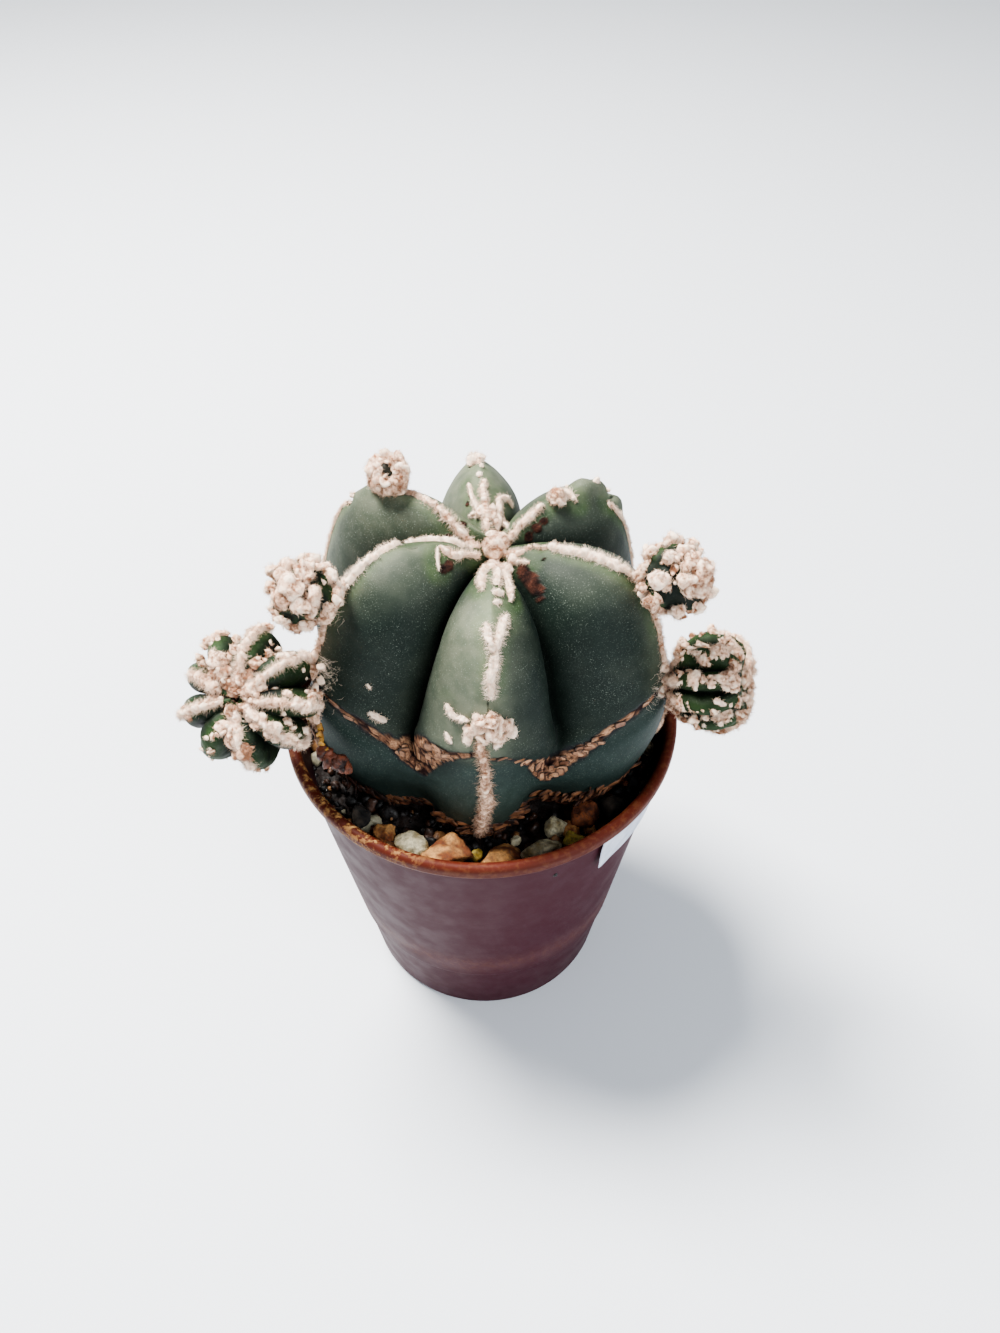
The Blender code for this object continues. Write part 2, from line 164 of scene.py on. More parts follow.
class Soup:
    """Gathers points, faces and a tone for each point, to make one mesh."""

    def __init__(self):
        self.points, self.faces, self.tones, self.count = [], [], [], 0

    def add(self, points, faces, tone=0.5):
        points = np.asarray(points, float).reshape(-1, 3)
        self.points.append(points)
        self.tones.append(np.broadcast_to(np.asarray(tone, float).ravel(), (len(points),)))
        for face_list in faces if isinstance(faces, tuple) else (faces,):
            self.faces.append(np.asarray(face_list, np.int64) + self.count)
        self.count += len(points)

    def build(self, name, material, colours=None, **values):
        """A smooth-shaded object. values are float attributes; tone is always one of them."""
        mesh = bpy.data.meshes.new(name)
        mesh.vertices.add(self.count)
        mesh.vertices.foreach_set("co", (np.concatenate(self.points) * MM).ravel())
        sizes = np.concatenate([np.full(len(f), f.shape[1]) for f in self.faces])
        corners = np.concatenate([f.ravel() for f in self.faces])
        mesh.loops.add(len(corners))
        mesh.loops.foreach_set("vertex_index", corners.astype(np.int32))
        mesh.polygons.add(len(sizes))
        starts = np.concatenate([[0], np.cumsum(sizes)[:-1]])
        mesh.polygons.foreach_set("loop_start", starts.astype(np.int32))
        mesh.update(calc_edges=True)
        mesh.shade_smooth()
        values["tone"] = np.concatenate(self.tones)
        for key, value in values.items():
            layer = mesh.attributes.new(key, "FLOAT", "POINT")
            layer.data.foreach_set("value", np.asarray(value, np.float32).ravel())
        if colours is not None:
            layer = mesh.attributes.new("tint", "FLOAT_COLOR", "POINT")
            full = np.concatenate([colours.reshape(-1, 3), np.ones((self.count, 1))], 1)
            layer.data.foreach_set("color", full.astype(np.float32).ravel())
        mesh.materials.append(material)
        obj = bpy.data.objects.new(name, mesh)
        bpy.context.scene.collection.objects.link(obj)
        return obj


def grid_faces(rows, columns, closed):
    """Quads of a grid of points, row by row. closed joins the last column to the first."""
    index = np.arange(rows * columns).reshape(rows, columns)
    if closed:
        index = np.concatenate([index, index[:, :1]], 1)
    return np.stack([index[:-1, :-1], index[1:, :-1], index[1:, 1:], index[:-1, 1:]], -1).reshape(-1, 4)


def grid_normals(points, closed):
    if closed:
        across = np.roll(points, -1, 1) - np.roll(points, 1, 1)
    else:
        across = np.gradient(points, axis=1)
    along = np.gradient(points, axis=0)
    return unit(np.cross(along, across))


def ball(subdivisions):
    """Points and triangles of a unit icosphere."""
    work = bmesh.new()
    bmesh.ops.create_icosphere(work, subdivisions=subdivisions, radius=1.0)
    points = np.array([v.co for v in work.verts])
    faces = np.array([[v.index for v in f.verts] for f in work.faces])
    work.free()
    return points, faces


BALLS = {n: ball(n) for n in (2, 3, 4, 5)}


def finished(obj, slot, *nodes):
    """Puts a piece on the frame: it rides the one body and stands for those nodes; slot is not used."""
    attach(obj, "root")
    if nodes:
        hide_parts(*nodes)
    return obj


def middle(node):
    """The centre and half size of a CAD node, in millimetres."""
    low, high = (np.array(corner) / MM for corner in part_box(node))
    return (low + high) / 2, (high - low) / 2


class Host:
    """A surface that wool grows on."""

    def __init__(self, points, faces):
        self.tree = BVHTree.FromPolygons(points.reshape(-1, 3).tolist(), faces.tolist())

    def nearest(self, points):
        places, normals = [], []
        for point in points.reshape(-1, 3):
            place, normal, _, _ = self.tree.find_nearest(Vector(point))
            places.append(place)
            normals.append(normal)
        shape = points.shape
        return np.array(places).reshape(shape), np.array(normals).reshape(shape)


# ---------------------------------------------------------------- materials


class Graph:
    """A material's nodes, with short calls to add and join them."""

    def __init__(self, name, roughness, **sockets):
        self.material = bpy.data.materials.new(name)
        self.material.use_nodes = True
        self.tree = self.material.node_tree
        self.shader = self.tree.nodes["Principled BSDF"]
        self.shader.inputs["Roughness"].default_value = roughness
        for key, value in sockets.items():
            self.shader.inputs[key.replace("_", " ")].default_value = value
        self.place = self.node("ShaderNodeTexCoord").outputs["Object"]
        scale = self.node("ShaderNodeVectorMath", operation="SCALE")
        self.join(self.place, scale.inputs[0])
        scale.inputs["Scale"].default_value = 1 / MM
        self.place = scale.outputs[0]

    def node(self, kind, **settings):
        node = self.tree.nodes.new(kind)
        for key, value in settings.items():
            setattr(node, key, value)
        return node

    def join(self, start, end):
        self.tree.links.new(start, end)

    def attribute(self, name, colour=False):
        node = self.node("ShaderNodeAttribute", attribute_name=name)
        return node.outputs["Color" if colour else "Fac"]

    def noise(self, size, detail=3.0, rough=0.55, warp=0.0):
        node = self.node("ShaderNodeTexNoise")
        self.join(self.place, node.inputs["Vector"])
        for key, value in (("Scale", 1 / size), ("Detail", detail), ("Roughness", rough), ("Distortion", warp)):
            node.inputs[key].default_value = value
        return node.outputs["Fac"]

    def cells(self, size):
        """Distance to the nearest of many scattered points."""
        node = self.node("ShaderNodeTexVoronoi", feature="F1")
        self.join(self.place, node.inputs["Vector"])
        node.inputs["Scale"].default_value = 1 / size
        return node.outputs["Distance"]

    def between(self, value, low, high, start=0.0, end=1.0):
        """The value remapped smoothly from low..high to start..end."""
        node = self.node("ShaderNodeMapRange", interpolation_type="SMOOTHSTEP")
        self.join(value, node.inputs["Value"])
        for key, number in (("From Min", low), ("From Max", high), ("To Min", start), ("To Max", end)):
            node.inputs[key].default_value = number
        return node.outputs["Result"]

    def math(self, operation, first, second):
        node = self.node("ShaderNodeMath", operation=operation)
        for socket, value in zip(node.inputs, (first, second)):
            if isinstance(value, (int, float)):
                socket.default_value = value
            else:
                self.join(value, socket)
        return node.outputs[0]

    def mix(self, share, first, second, blend="MIX"):
        node = self.node("ShaderNodeMix", data_type="RGBA", blend_type=blend)
        for socket, value in ((node.inputs[0], share), (node.inputs[6], first), (node.inputs[7], second)):
            if isinstance(value, (int, float)):
                socket.default_value = value
            elif isinstance(value, (tuple, np.ndarray)):
                socket.default_value = (*value, 1.0)
            else:
                self.join(value, socket)
        return node.outputs[2]

    def colour(self, value):
        self.join(value, self.shader.inputs["Base Color"])

    def rough(self, value):
        self.join(value, self.shader.inputs["Roughness"])

    def bump(self, *heights):
        """Each height is (socket, depth in millimetres)."""
        normal = None
        for height, depth in heights:
            node = self.node("ShaderNodeBump")
            node.inputs["Strength"].default_value = 1.0
            node.inputs["Distance"].default_value = depth * MM
            self.join(height, node.inputs["Height"])
            if normal is not None:
                self.join(normal, node.inputs["Normal"])
            normal = node.outputs["Normal"]
        self.join(normal, self.shader.inputs["Normal"])


def skin_material():
    g = Graph("skin", 0.5, Specular_IOR_Level=0.2)
    cork = g.attribute("cork")
    tint = g.attribute("tint", True)
    mottled = g.mix(g.between(g.noise(1.6, 4), 0.35, 0.7), tint, (0.72, 0.78, 0.76), "MULTIPLY")
    grain = g.between(g.noise(0.15, 2, 0.7), 0.58, 0.72)
    dots = g.between(g.cells(0.42), 0.03, 0.15, 0.85, 0.0)
    flecks = g.math("MAXIMUM", g.math("MULTIPLY", grain, 0.42), dots)
    flecks = g.math("MULTIPLY", flecks, g.attribute("bloom"))
    dusted = g.mix(flecks, mottled, srgb(150, 160, 146))
    dirt = g.mix(1.0, tint, (0.45, 0.4, 0.4), "MULTIPLY")
    grimy = g.mix(g.between(g.noise(0.3, 4, 0.7), 0.35, 0.65), dirt, tint)
    g.colour(g.mix(cork, dusted, grimy))
    g.rough(g.between(cork, 0, 1, 0.62, 0.88))
    g.bump((g.noise(0.22, 3), 0.03), (g.math("MULTIPLY", g.noise(0.35, 5, 0.7), cork), 0.2))
    return g.material


def wool_material():
    g = Graph("wool", 0.95, Sheen_Weight=0.25, Sheen_Roughness=0.6, Specular_IOR_Level=0.12)
    g.shader.inputs["Sheen Tint"].default_value = (1.0, 0.94, 0.86, 1.0)
    g.shader.inputs["Subsurface Weight"].default_value = 0.1
    g.shader.inputs["Subsurface Radius"].default_value = (0.6, 0.3, 0.2)
    g.shader.inputs["Subsurface Scale"].default_value = 0.6 * MM
    tone = g.math("ADD", g.attribute("tone"), g.between(g.noise(0.5, 4, 0.65), 0.3, 0.7, -0.32, 0.2))
    strands = g.noise(0.12, 5, 0.75, 1.6)
    tone = g.math("ADD", tone, g.between(strands, 0.3, 0.7, -0.16, 0.12))
    # Low tones take the warm brown of the wool's creases: partly the wool's own pinkish tan, partly painted
    # shade.
    warm = g.mix(g.between(tone, 0, 0.5), srgb(140, 96, 70), srgb(229, 189, 160))
    g.colour(g.mix(g.between(tone, 0.35, 0.9), warm, srgb(255, 230, 207)))
    g.bump((strands, 0.1))
    return g.material


def tinted_material(name, roughness, low, high, size=0.4, depth=0.05, dark=0.65, **sockets):
    """A material whose colour is the tint attribute, mottled, with roughness low..high."""
    g = Graph(name, roughness, **sockets)
    spots = g.noise(size, 4, 0.65)
    tint = g.attribute("tint", True)
    g.colour(g.mix(g.between(spots, 0.3, 0.65), g.mix(1.0, tint, (dark,) * 3, "MULTIPLY"), tint))
    g.rough(g.between(spots, 0.3, 0.7, low, high))
    g.bump((spots, depth), (g.noise(size / 4, 3), depth / 3))
    return g.material


def pot_material():
    g = Graph("pot_plastic", 0.5, Specular_IOR_Level=0.16)
    tint = g.attribute("tint", True)
    cloudy = g.mix(g.between(g.noise(9, 4, 0.6), 0.35, 0.7, 0.0, 0.12), tint, srgb(68, 34, 43))
    crust = g.math("MULTIPLY", g.attribute("tone"), g.between(g.noise(0.9, 5, 0.65), 0.46, 0.62))
    limed = g.mix(crust, cloudy, srgb(182, 140, 92))
    scratch = g.between(g.noise(0.5, 2), 0.68, 0.74, 0, 0.35)
    g.colour(g.mix(scratch, limed, srgb(84, 48, 48)))
    g.rough(g.math("ADD", g.between(g.noise(4, 4), 0.3, 0.7, 0.48, 0.6), g.math("MULTIPLY", crust, 0.4)))
    g.bump((g.noise(0.35, 3), 0.008), (crust, 0.12))
    return g.material


# ---------------------------------------------------------------- stem


def spline(outline, place):
    """Catmull-Rom points of an outline, where whole places are its own points."""
    place = np.clip(np.asarray(place, float), 0, len(outline) - 1)
    i = np.minimum(place.astype(int), len(outline) - 2)
    t = (place - i)[..., None]
    a, b, c, d = (outline[np.clip(i + k, 0, len(outline) - 1)] for k in (-1, 0, 1, 2))
    return 0.5 * (2 * b + (c - a) * t + (2 * a - 5 * b + 4 * c - d) * t**2 + (3 * b - a - 3 * c + d) * t**3)


def furrow_swing(rib, ring):
    *_, upper, lower = RIBS[rib]
    return upper * (1 - smooth(ring, 4, 7.5)) + lower * smooth(ring, 8.2, 10)


def rib_shares(azimuth, ring):
    """Share of the way from the crest to the furrow, and the reach, lift and keel, at each azimuth."""
    azimuth = azimuth % 360
    share, reach, lift, keel = (np.zeros_like(azimuth) for _ in range(4))
    for i, (at, far, high, sharp, *_) in enumerate(RIBS):
        for step in (1, -1):
            to, far2, high2, *_ = RIBS[(i + step) % len(RIBS)]
            swing = furrow_swing(i if step > 0 else (i - 1) % len(RIBS), ring) * step
            gap = (to - at) * step % 360
            here = (azimuth - at) * step % 360
            valley = gap / 2 + swing
            inside = here <= valley
            mixed = smooth(here / gap, 0, 1)
            share = np.where(inside, np.minimum(here / valley, 1), share)
            reach = np.where(inside, far + (far2 - far) * mixed, reach)
            lift = np.where(inside, high + (high2 - high) * mixed, lift)
            keel = np.where(inside, sharp, keel)
    return share, reach, lift, keel


def stem_points(azimuth, ring):
    azimuth, ring = np.broadcast_arrays(np.asarray(azimuth, float), np.asarray(ring, float))
    share, reach, lift, keel = rib_shares(azimuth, ring)
    crest, furrow = spline(CREST, ring), spline(FURROW, ring)
    above = 1 / (1 + np.exp((ring - SCAR_RING) * 4))
    swollen = np.sqrt(np.maximum(1 - share**4, 0)) * (1 - 0.25 * share)
    swollen = swollen + keel * ((1 - share) * (1 + 0.35 * share) - swollen)
    mix = above * swollen + (1 - above) * (0.5 + 0.5 * np.cos(np.pi * share))
    radius = (furrow[..., 0] + (crest[..., 0] - furrow[..., 0]) * mix) * reach
    raised = np.clip((crest[..., 1] - 66) / 16, 0, 1)
    height = furrow[..., 1] + (crest[..., 1] - furrow[..., 1]) * mix + lift * raised
    lean = np.clip((height - 50) / 32, 0, 1)
    angle = np.radians(azimuth)
    return np.stack([1.6 * lean + radius * np.cos(angle), -0.6 * lean + radius * np.sin(angle), height], -1)


# Corky seam: azimuth, upper ring, lower ring
SEAM = np.array((
    (202, 8.30, 8.42), (211, 8.35, 8.66), (221, 8.42, 8.85), (229, 8.75, 9.10), (233, 8.72, 9.35),
    (240, 8.35, 9.75), (246, 8.08, 10.15), (250, 8.16, 9.50), (258, 8.32, 8.82), (267, 8.05, 8.30),
    (271, 8.50, 8.50), (274, 8.50, 8.66), (277, 8.55, 8.55), (282, 9.0, 9.0), (285, 8.97, 9.16),
    (289, 9.15, 9.55), (293, 9.15, 10.25), (296, 9.20, 10.75), (300, 9.18, 10.30), (305, 9.05, 9.75),
    (313, 8.90, 9.36), (318, 8.52, 8.95), (325, 8.28, 8.70), (332, 8.22, 8.50), (338, 8.3, 8.36),
    (352, 8.35, 8.50), (375, 8.40, 8.95), (394, 8.35, 8.45), (420, 8.30, 9.05), (458, 8.35, 8.50),
    (487, 8.30, 9.10), (516, 8.40, 8.55), (536, 8.35, 9.0), (562, 8.30, 8.42),
))
# Brown scabs: azimuth, ring, radius
SCABS = (
    (310, 1.85, 1.15), (309, 2.25, 1.2), (308.5, 2.65, 1.0), (307.5, 2.95, 0.6), (222, 2.04, 0.75),
    (222, 2.25, 0.6), (13, 1.5, 0.75), (17, 1.75, 0.75), (21, 1.95, 0.6), (160, 1.15, 0.5),
    (173, 1.6, 0.35), (115, 2.2, 0.35), (327, 2.05, 0.28), (350, 2.2, 0.25),
)
# Green humps and notches on the crests: azimuth, ring, radius, height
HUMPS = (
    (33, 3.3, 2.4, 1.3), (34, 3.9, 1.6, 0.7), (32, 4.55, 1.0, -2.0), (33, 5.1, 2.0, 0.4),
    (30, 2.6, 1.6, -0.3), (153, 3.75, 2.2, 0.7), (156, 4.7, 1.1, -1.3), (197, 2.55, 1.2, -0.45),
    (98, 3.0, 2.2, 0.25), (150, 2.9, 1.2, -0.4), (270, 6.25, 1.3, -0.5), (340, 1.75, 1.0, -0.4),
    (215, 3.0, 5.0, 0.3), (322, 4.0, 6.0, 0.25), (199, 1.2, 1.4, -0.3),
)
FOOT_HEIGHT = 51.0  # brown dried skin below this


def seam_mask(points, azimuth, ring):
    """How corky each place is, and how far inside the seam's band."""
    turned = (azimuth - SEAM[0, 0]) % 360 + SEAM[0, 0]
    upper = np.interp(turned, SEAM[:, 0], SEAM[:, 1])
    lower = np.interp(turned, SEAM[:, 0], SEAM[:, 2])
    wander = 0.10 * noise(points, 0.9, 3) + 0.06 * noise(points, 0.35, 4)
    inside = np.minimum(ring - upper, lower - ring) + wander * np.clip((lower - upper) * 6, 0, 1)
    return smooth(inside, -0.05, 0.05), smooth(inside, -0.22, -0.02)


def spot_mask(points, spots):
    """The strongest of several uneven round spots on the stem, at each point."""
    mask = np.zeros(points.shape[:-1])
    uneven = 0.25 * noise(points, 0.8, 5)
    for azimuth, ring, radius, *_ in spots:
        away = np.linalg.norm(points - stem_points(azimuth, ring), axis=-1) / radius
        mask = np.maximum(mask, 1 - smooth(away + uneven, 0.75, 1.05))
    return mask


def stem_columns():
    """Azimuth shares 0..1 within each half rib, closer together near the furrow."""
    t = np.arange(STEM_COLUMNS) / STEM_COLUMNS
    return 1 - (1 - t) ** 1.5


def stem_grid():
    """Azimuth and ring of every point of the stem's mesh."""
    ring = np.linspace(0.02, STEM_LAST_RING, STEM_ROWS)
    columns = []
    for i, (at, *_) in enumerate(RIBS):
        gap = (RIBS[(i + 1) % len(RIBS)][0] - at) % 360
        valley = gap / 2 + furrow_swing(i, ring)
        for share in stem_columns():
            columns.append(at + valley * share)
        for share in stem_columns():
            columns.append(at + valley + (gap - valley) * share)
    return np.stack(columns, 1), np.repeat(ring[:, None], len(columns), 1)


def stem_tint(points, normals, azimuth, ring, share, near_wool):
    """The skin's colour before mottling, with painted light on its upper faces and lit ribs, and painted shade
    in its upper furrows.
    """
    dark, pale = srgb(29, 39, 34), srgb(122, 126, 107)
    # Painted light: skin that faces up, the back ribs and the middle of the front rib are painted paler where
    # the light falls on them.
    top_light = smooth(normals[..., 2], 0.2, 0.97)
    front = np.exp(-(((azimuth - 262) / 16) ** 2)) * smooth(ring, 2.0, 4.0) * (1 - smooth(ring, 7.6, 9.2))
    back = np.exp(-(((azimuth % 360 - 110) / 62) ** 2)) * (1 - smooth(ring, 6, 9))
    edge = smooth(0.35 - share, 0, 0.35) * 0.3
    pale_and_lit_share = 0.10 * top_light + 0.52 * front + 0.46 * back + edge + 0.10 * fractal(points, 5, 3, 21)
    colour = fade(dark, pale, np.clip(pale_and_lit_share, 0, 1)[..., None])
    low = smooth(ring, 8.4, 9.6)[..., None]
    colour = fade(colour, srgb(41, 53, 50), low * 0.9)
    lowest = (smooth(ring, 9.5, 12.5) * np.exp(-(((azimuth - 270) / 20) ** 2)))[..., None]
    colour = fade(colour, srgb(66, 76, 68), lowest * 0.6)
    fresh = near_wool * (0.7 + 0.4 * noise(points, 1.2, 8))
    colour = fade(colour, srgb(70, 92, 48), np.clip(fresh, 0, 1)[..., None] * 0.35)
    # Painted shade: the furrows above the scar are painted up to 35% darker towards their floors.
    furrow_shade = smooth(share, 0.86, 1.0) * (1 - smooth(ring, 8, 9.4)) * 0.35
    return colour * (1 - furrow_shade)[..., None]


def barky(points, crack, number, deep, dark, pale):
    """Colours of cracked bark: dark in the cracks, each plate its own brown."""
    shade = np.clip(0.15 + 0.85 * number + 0.35 * fractal(points, 0.8, 2, 44), 0, 1)[..., None]
    return fade(deep, fade(dark, pale, shade), smooth(crack, 0.03, 0.22)[..., None])


def lower_furrow(share, azimuth, ring):
    """How far the skin draws in along the furrows below the scar."""
    valley = np.exp(-(((1 - share) / 0.30) ** 2))
    right = np.exp(-(((azimuth - 303) / 26) ** 2))
    near = smooth(ring, 9.4, 10.8) * 0.7 + smooth(ring, 10.6, 13.0) * (0.7 + 1.1 * right)
    return -valley * near


def build_stem(wool_points):
    azimuth, ring = stem_grid()
    points = stem_points(azimuth, ring)
    share, *_ = rib_shares(azimuth, ring)
    normals = grid_normals(points, True)
    points = points + normals * lower_furrow(share, azimuth % 360, ring)[..., None]
    normals = grid_normals(points, True)
    cork, rim = seam_mask(points, azimuth, ring)
    scab = spot_mask(points, SCABS)
    crack, number = plates(points * (1, 1, 0.7), 1.35, 7)
    foot_line = FOOT_HEIGHT + 1.2 * fractal(points, 2.6, 3, 12)
    foot = smooth(foot_line - points[..., 2], -0.3, 0.5)
    plate = smooth(crack, 0.02, 0.2) * (0.5 + 0.8 * number)
    rise = 0.06 * fractal(points, 3.5, 2, 1) + 0.02 * noise(points, 0.7, 2)
    rise = rise + cork * (0.14 * plate - 0.2) + (rim - cork) * -0.15
    rise = rise + scab * (0.06 + 0.3 * fractal(points, 1.0, 3, 14))
    rise = rise + foot * (0.26 * plate + 0.3 * fractal(points, 1.4, 2, 15))
    for at, place, radius, height in HUMPS:
        away = np.linalg.norm(points - stem_points(at, place), axis=-1) / radius
        rise = rise + height * np.exp(-(away**2) * 2)
    points = points + normals * rise[..., None]
    tree = KDTree(len(wool_points))
    for i, place in enumerate(wool_points):
        tree.insert(place, i)
    tree.balance()
    away = np.array([tree.find(p)[2] for p in points.reshape(-1, 3)]).reshape(share.shape)
    near = 1 - smooth(away, 0.9, 2.4)
    tint = stem_tint(points, normals, azimuth, ring, share, near * (1 - smooth(ring, 5.6, 6.6)))
    stained = (rim - cork)[..., None]
    tint = fade(tint, srgb(26, 19, 28), stained * 0.85)
    bark = barky(points, crack, number, srgb(38, 18, 22), srgb(108, 72, 56), srgb(188, 146, 114))
    tint = fade(tint, bark, cork[..., None])
    blotch = np.clip(0.5 + 1.3 * fractal(points, 0.9, 3, 46), 0, 1)[..., None]
    border = 0.35 + 0.65 * smooth(scab, 0.55, 0.95)[..., None]
    scabby = fade(srgb(28, 15, 14), srgb(82, 52, 42), blotch) * border
    tint = fade(tint, scabby, scab[..., None])
    burnt = barky(points, crack, number * 0.8, srgb(20, 10, 10), srgb(52, 30, 24), srgb(128, 82, 58))
    tint = fade(tint, burnt, foot[..., None])
    barked = np.clip(scab + foot + cork, 0, 1)
    bloom = (0.55 + 0.6 * fractal(points, 4, 3, 33)) * (1 - barked) * (1 - 0.5 * smooth(share, 0.8, 1))
    soup = Soup()
    faces = grid_faces(*points.shape[:2], True)
    soup.add(points, faces)
    obj = soup.build("stem_skin", skin_material(), tint, cork=barked, bloom=np.clip(bloom, 0, 1))
    finished(obj, "stem_skin", "stem")
    return Host(points, faces)


# ---------------------------------------------------------------- wool


def fibres(soup, roots, directions, lengths, radius, seed, tone):
    """Tapered, bent, three-sided hairs."""
    count = len(roots)
    if not count:
        return
    rng = np.random.default_rng(seed)
    directions = unit(directions)
    side = unit(np.cross(directions, unit(rng.normal(size=(count, 3)))))
    other = np.cross(directions, side)
    bend = unit(rng.normal(size=(count, 3))) * lengths[:, None] * 0.28
    middle_at = roots + directions * lengths[:, None] * 0.5 + bend * 0.6
    tip = roots + directions * lengths[:, None] - bend * 0.5
    turns = np.radians((0, 120, 240))
    around = np.cos(turns)[None, :, None] * side[:, None] + np.sin(turns)[None, :, None] * other[:, None]
    low = roots[:, None] + around * radius
    mid = middle_at[:, None] + around * radius * 0.8
    points = np.concatenate([low, mid, tip[:, None]], 1)
    base = (np.arange(count) * 7)[:, None]
    quads = np.concatenate([base + (i, (i + 1) % 3, 3 + (i + 1) % 3, 3 + i) for i in range(3)])
    tris = np.concatenate([base + (3 + i, 3 + (i + 1) % 3, 6) for i in range(3)])
    shades = np.repeat(tone + rng.uniform(-0.1, 0.22, count), 7)
    soup.add(points, (quads, tris), shades)


WOOL_STEP = 0.12  # between the rows of a strip of felt
FINE_HAIR, LUMP_HAIR, LOOSE_HAIR = 0.017, 0.02, 0.013  # hair radii


def resampled(path, step):
    """Rows at an even step along a polyline, whose first three columns are its points."""
    lengths = np.concatenate([[0], np.cumsum(np.linalg.norm(np.diff(path[:, :3], axis=0), axis=1))])
    count = max(int(lengths[-1] / step) + 1, 4)
    at = np.linspace(0, lengths[-1], count)
    return np.stack([np.interp(at, lengths, column) for column in path.T], 1)


def wool_line(soup, host, path, half_width, height, seed, tone=0.6, fringe=1.0):
    """A ragged felted strip along a path on the host, with a fringe of hairs. Its half width may vary."""
    rng = np.random.default_rng(seed)
    path = np.asarray(path, float)
    width = np.broadcast_to(np.asarray(half_width, float), (len(path),))
    line = resampled(np.concatenate([path, width[:, None]], 1), WOOL_STEP)
    line, width = line[:, :3], line[:, 3]
    line, normal = host.nearest(line)
    tangent = unit(np.gradient(line, axis=0))
    across = unit(np.cross(normal, tangent))
    share = np.linspace(0, 1, len(line))
    ends = np.minimum(1, np.minimum(share, 1 - share) * len(line) * WOOL_STEP / 0.7 + 0.1) ** 0.5
    sides = np.linspace(-1, 1, 13)
    left, right = (
        width * ends * (1 + 0.42 * noise(line, 1.1, seed + k) + 0.34 * noise(line, 0.4, seed + k + 1))
        for k in (0, 5)
    )
    reach = np.where(sides[None] < 0, left[:, None], right[:, None]) * sides[None]
    spread = line[:, None] + across[:, None] * reach[..., None]
    skin, out = host.nearest(spread)
    billow = np.abs(noise(skin, 0.85, seed + 2)) + 0.4 * np.abs(noise(skin, 0.36, seed + 3)) - 0.33
    slant = np.arange(len(line))[:, None] * WOOL_STEP + 0.6 * np.abs(reach)
    combed = noise(np.stack([slant, 0.22 * reach, 0.1 * slant], -1), 0.21, seed + 4)
    lift = height * ends[:, None] * (1 - np.abs(sides[None]) ** 2.2) * (0.85 + 0.7 * billow + 0.22 * combed)
    lift = lift - 0.16 * np.abs(sides[None]) ** 5
    points = skin + unit(out + normal[:, None] * 0.6) * lift[..., None]
    # Painted shade: the tone follows billow, which also lifts the felt, so its dents are painted darker.
    tones = np.clip(tone + 0.2 * noise(points, 1.4, seed + 8) + 0.45 * billow + 0.24 * combed, 0, 1)
    soup.add(points, grid_faces(len(line), len(sides), False), tones)
    length = len(line) * WOOL_STEP
    count = int(length * 95 * fringe)
    row = rng.integers(0, len(line), count)
    edge = np.where(rng.random(count) < 0.6, rng.uniform(0.55, 1.0, count), rng.uniform(0, 0.6, count))
    sign = np.where(rng.random(count) < 0.5, -1.0, 1.0)
    column = np.clip(np.round((edge * sign + 1) / 2 * (len(sides) - 1)).astype(int), 0, len(sides) - 1)
    roots = points[row, column] - out[row, column] * 0.03 + rng.normal(size=(count, 3)) * 0.05
    flow = noise_vectors(roots, 0.9, seed + 11)
    aim = across[row] * (sign * edge * 1.25)[:, None] + out[row, column] * (0.18 + 0.4 * (1 - edge))[:, None]
    aim = aim + flow * 0.8 + rng.normal(size=(count, 3)) * 0.25 - UP * 0.15
    lengths = rng.uniform(0.3, 0.7, count) * (0.7 + 0.6 * edge) * np.clip(width[row] / 0.5, 0.4, 1.1)
    fibres(soup, roots, aim, lengths, FINE_HAIR, seed + 12, tone + 0.05)


VIEW_AXES = np.stack([VIEW_RIGHT, VIEW_UP, np.cross(VIEW_RIGHT, VIEW_UP)])


def wool_lump(soup, centre, size, seed, tone=0.6, axes=VIEW_AXES, fuzz=230, rough=1.0, level=None):
    """A matted lump of wool. size is its half size along the axes or one radius."""
    rng = np.random.default_rng(seed)
    size = np.broadcast_to(np.asarray(size, float), (3,))
    radius = float(size.mean())
    level = level or (2 if radius < 0.32 else 3 if radius < 0.95 else 4)
    sphere, faces = BALLS[level]
    base = centre + (sphere * size) @ axes
    grain = unit(rng.normal(size=3))
    coarse = noise(base, radius * 0.9, seed)
    billow = np.abs(noise(base, radius * 0.5 + 0.25, seed + 1)) - 0.25
    combed = noise(base - (base @ grain)[:, None] * grain * 0.8, 0.2 + 0.08 * radius, seed + 2)
    grow = 1 + rough * (0.34 * coarse + 0.34 * billow) + 0.07 * combed / max(radius, 0.5)
    ragged = noise_vectors(base, 0.55, seed + 6) * min(0.22, 0.4 * radius)
    ragged = ragged + noise_vectors(base, 0.22, seed + 7) * min(0.06, 0.15 * radius)
    points = centre + (sphere * size * grow[:, None]) @ axes + rough * ragged
    # Painted shade: the tone follows the noises that swell the lump, so its dents and creases are painted
    # darker.
    tones = np.clip(tone + 0.7 * billow + 0.25 * combed + 0.3 * coarse, 0, 1)
    soup.add(points, faces, tones)
    count = int(fuzz * radius**1.6)
    pick = rng.integers(0, len(points), count)
    swirl = np.cross(points[pick] - centre, noise_vectors(points[pick], 0.8, seed + 4))
    aim = unit(points[pick] - centre) * 0.45 + unit(swirl) * 1.1 + rng.normal(size=(count, 3)) * 0.3
    lengths = rng.uniform(0.3, 0.7, count) * min(1.0, 0.4 + radius)
    fibres(soup, points[pick], aim, lengths, LUMP_HAIR, seed + 5, tone + 0.05)


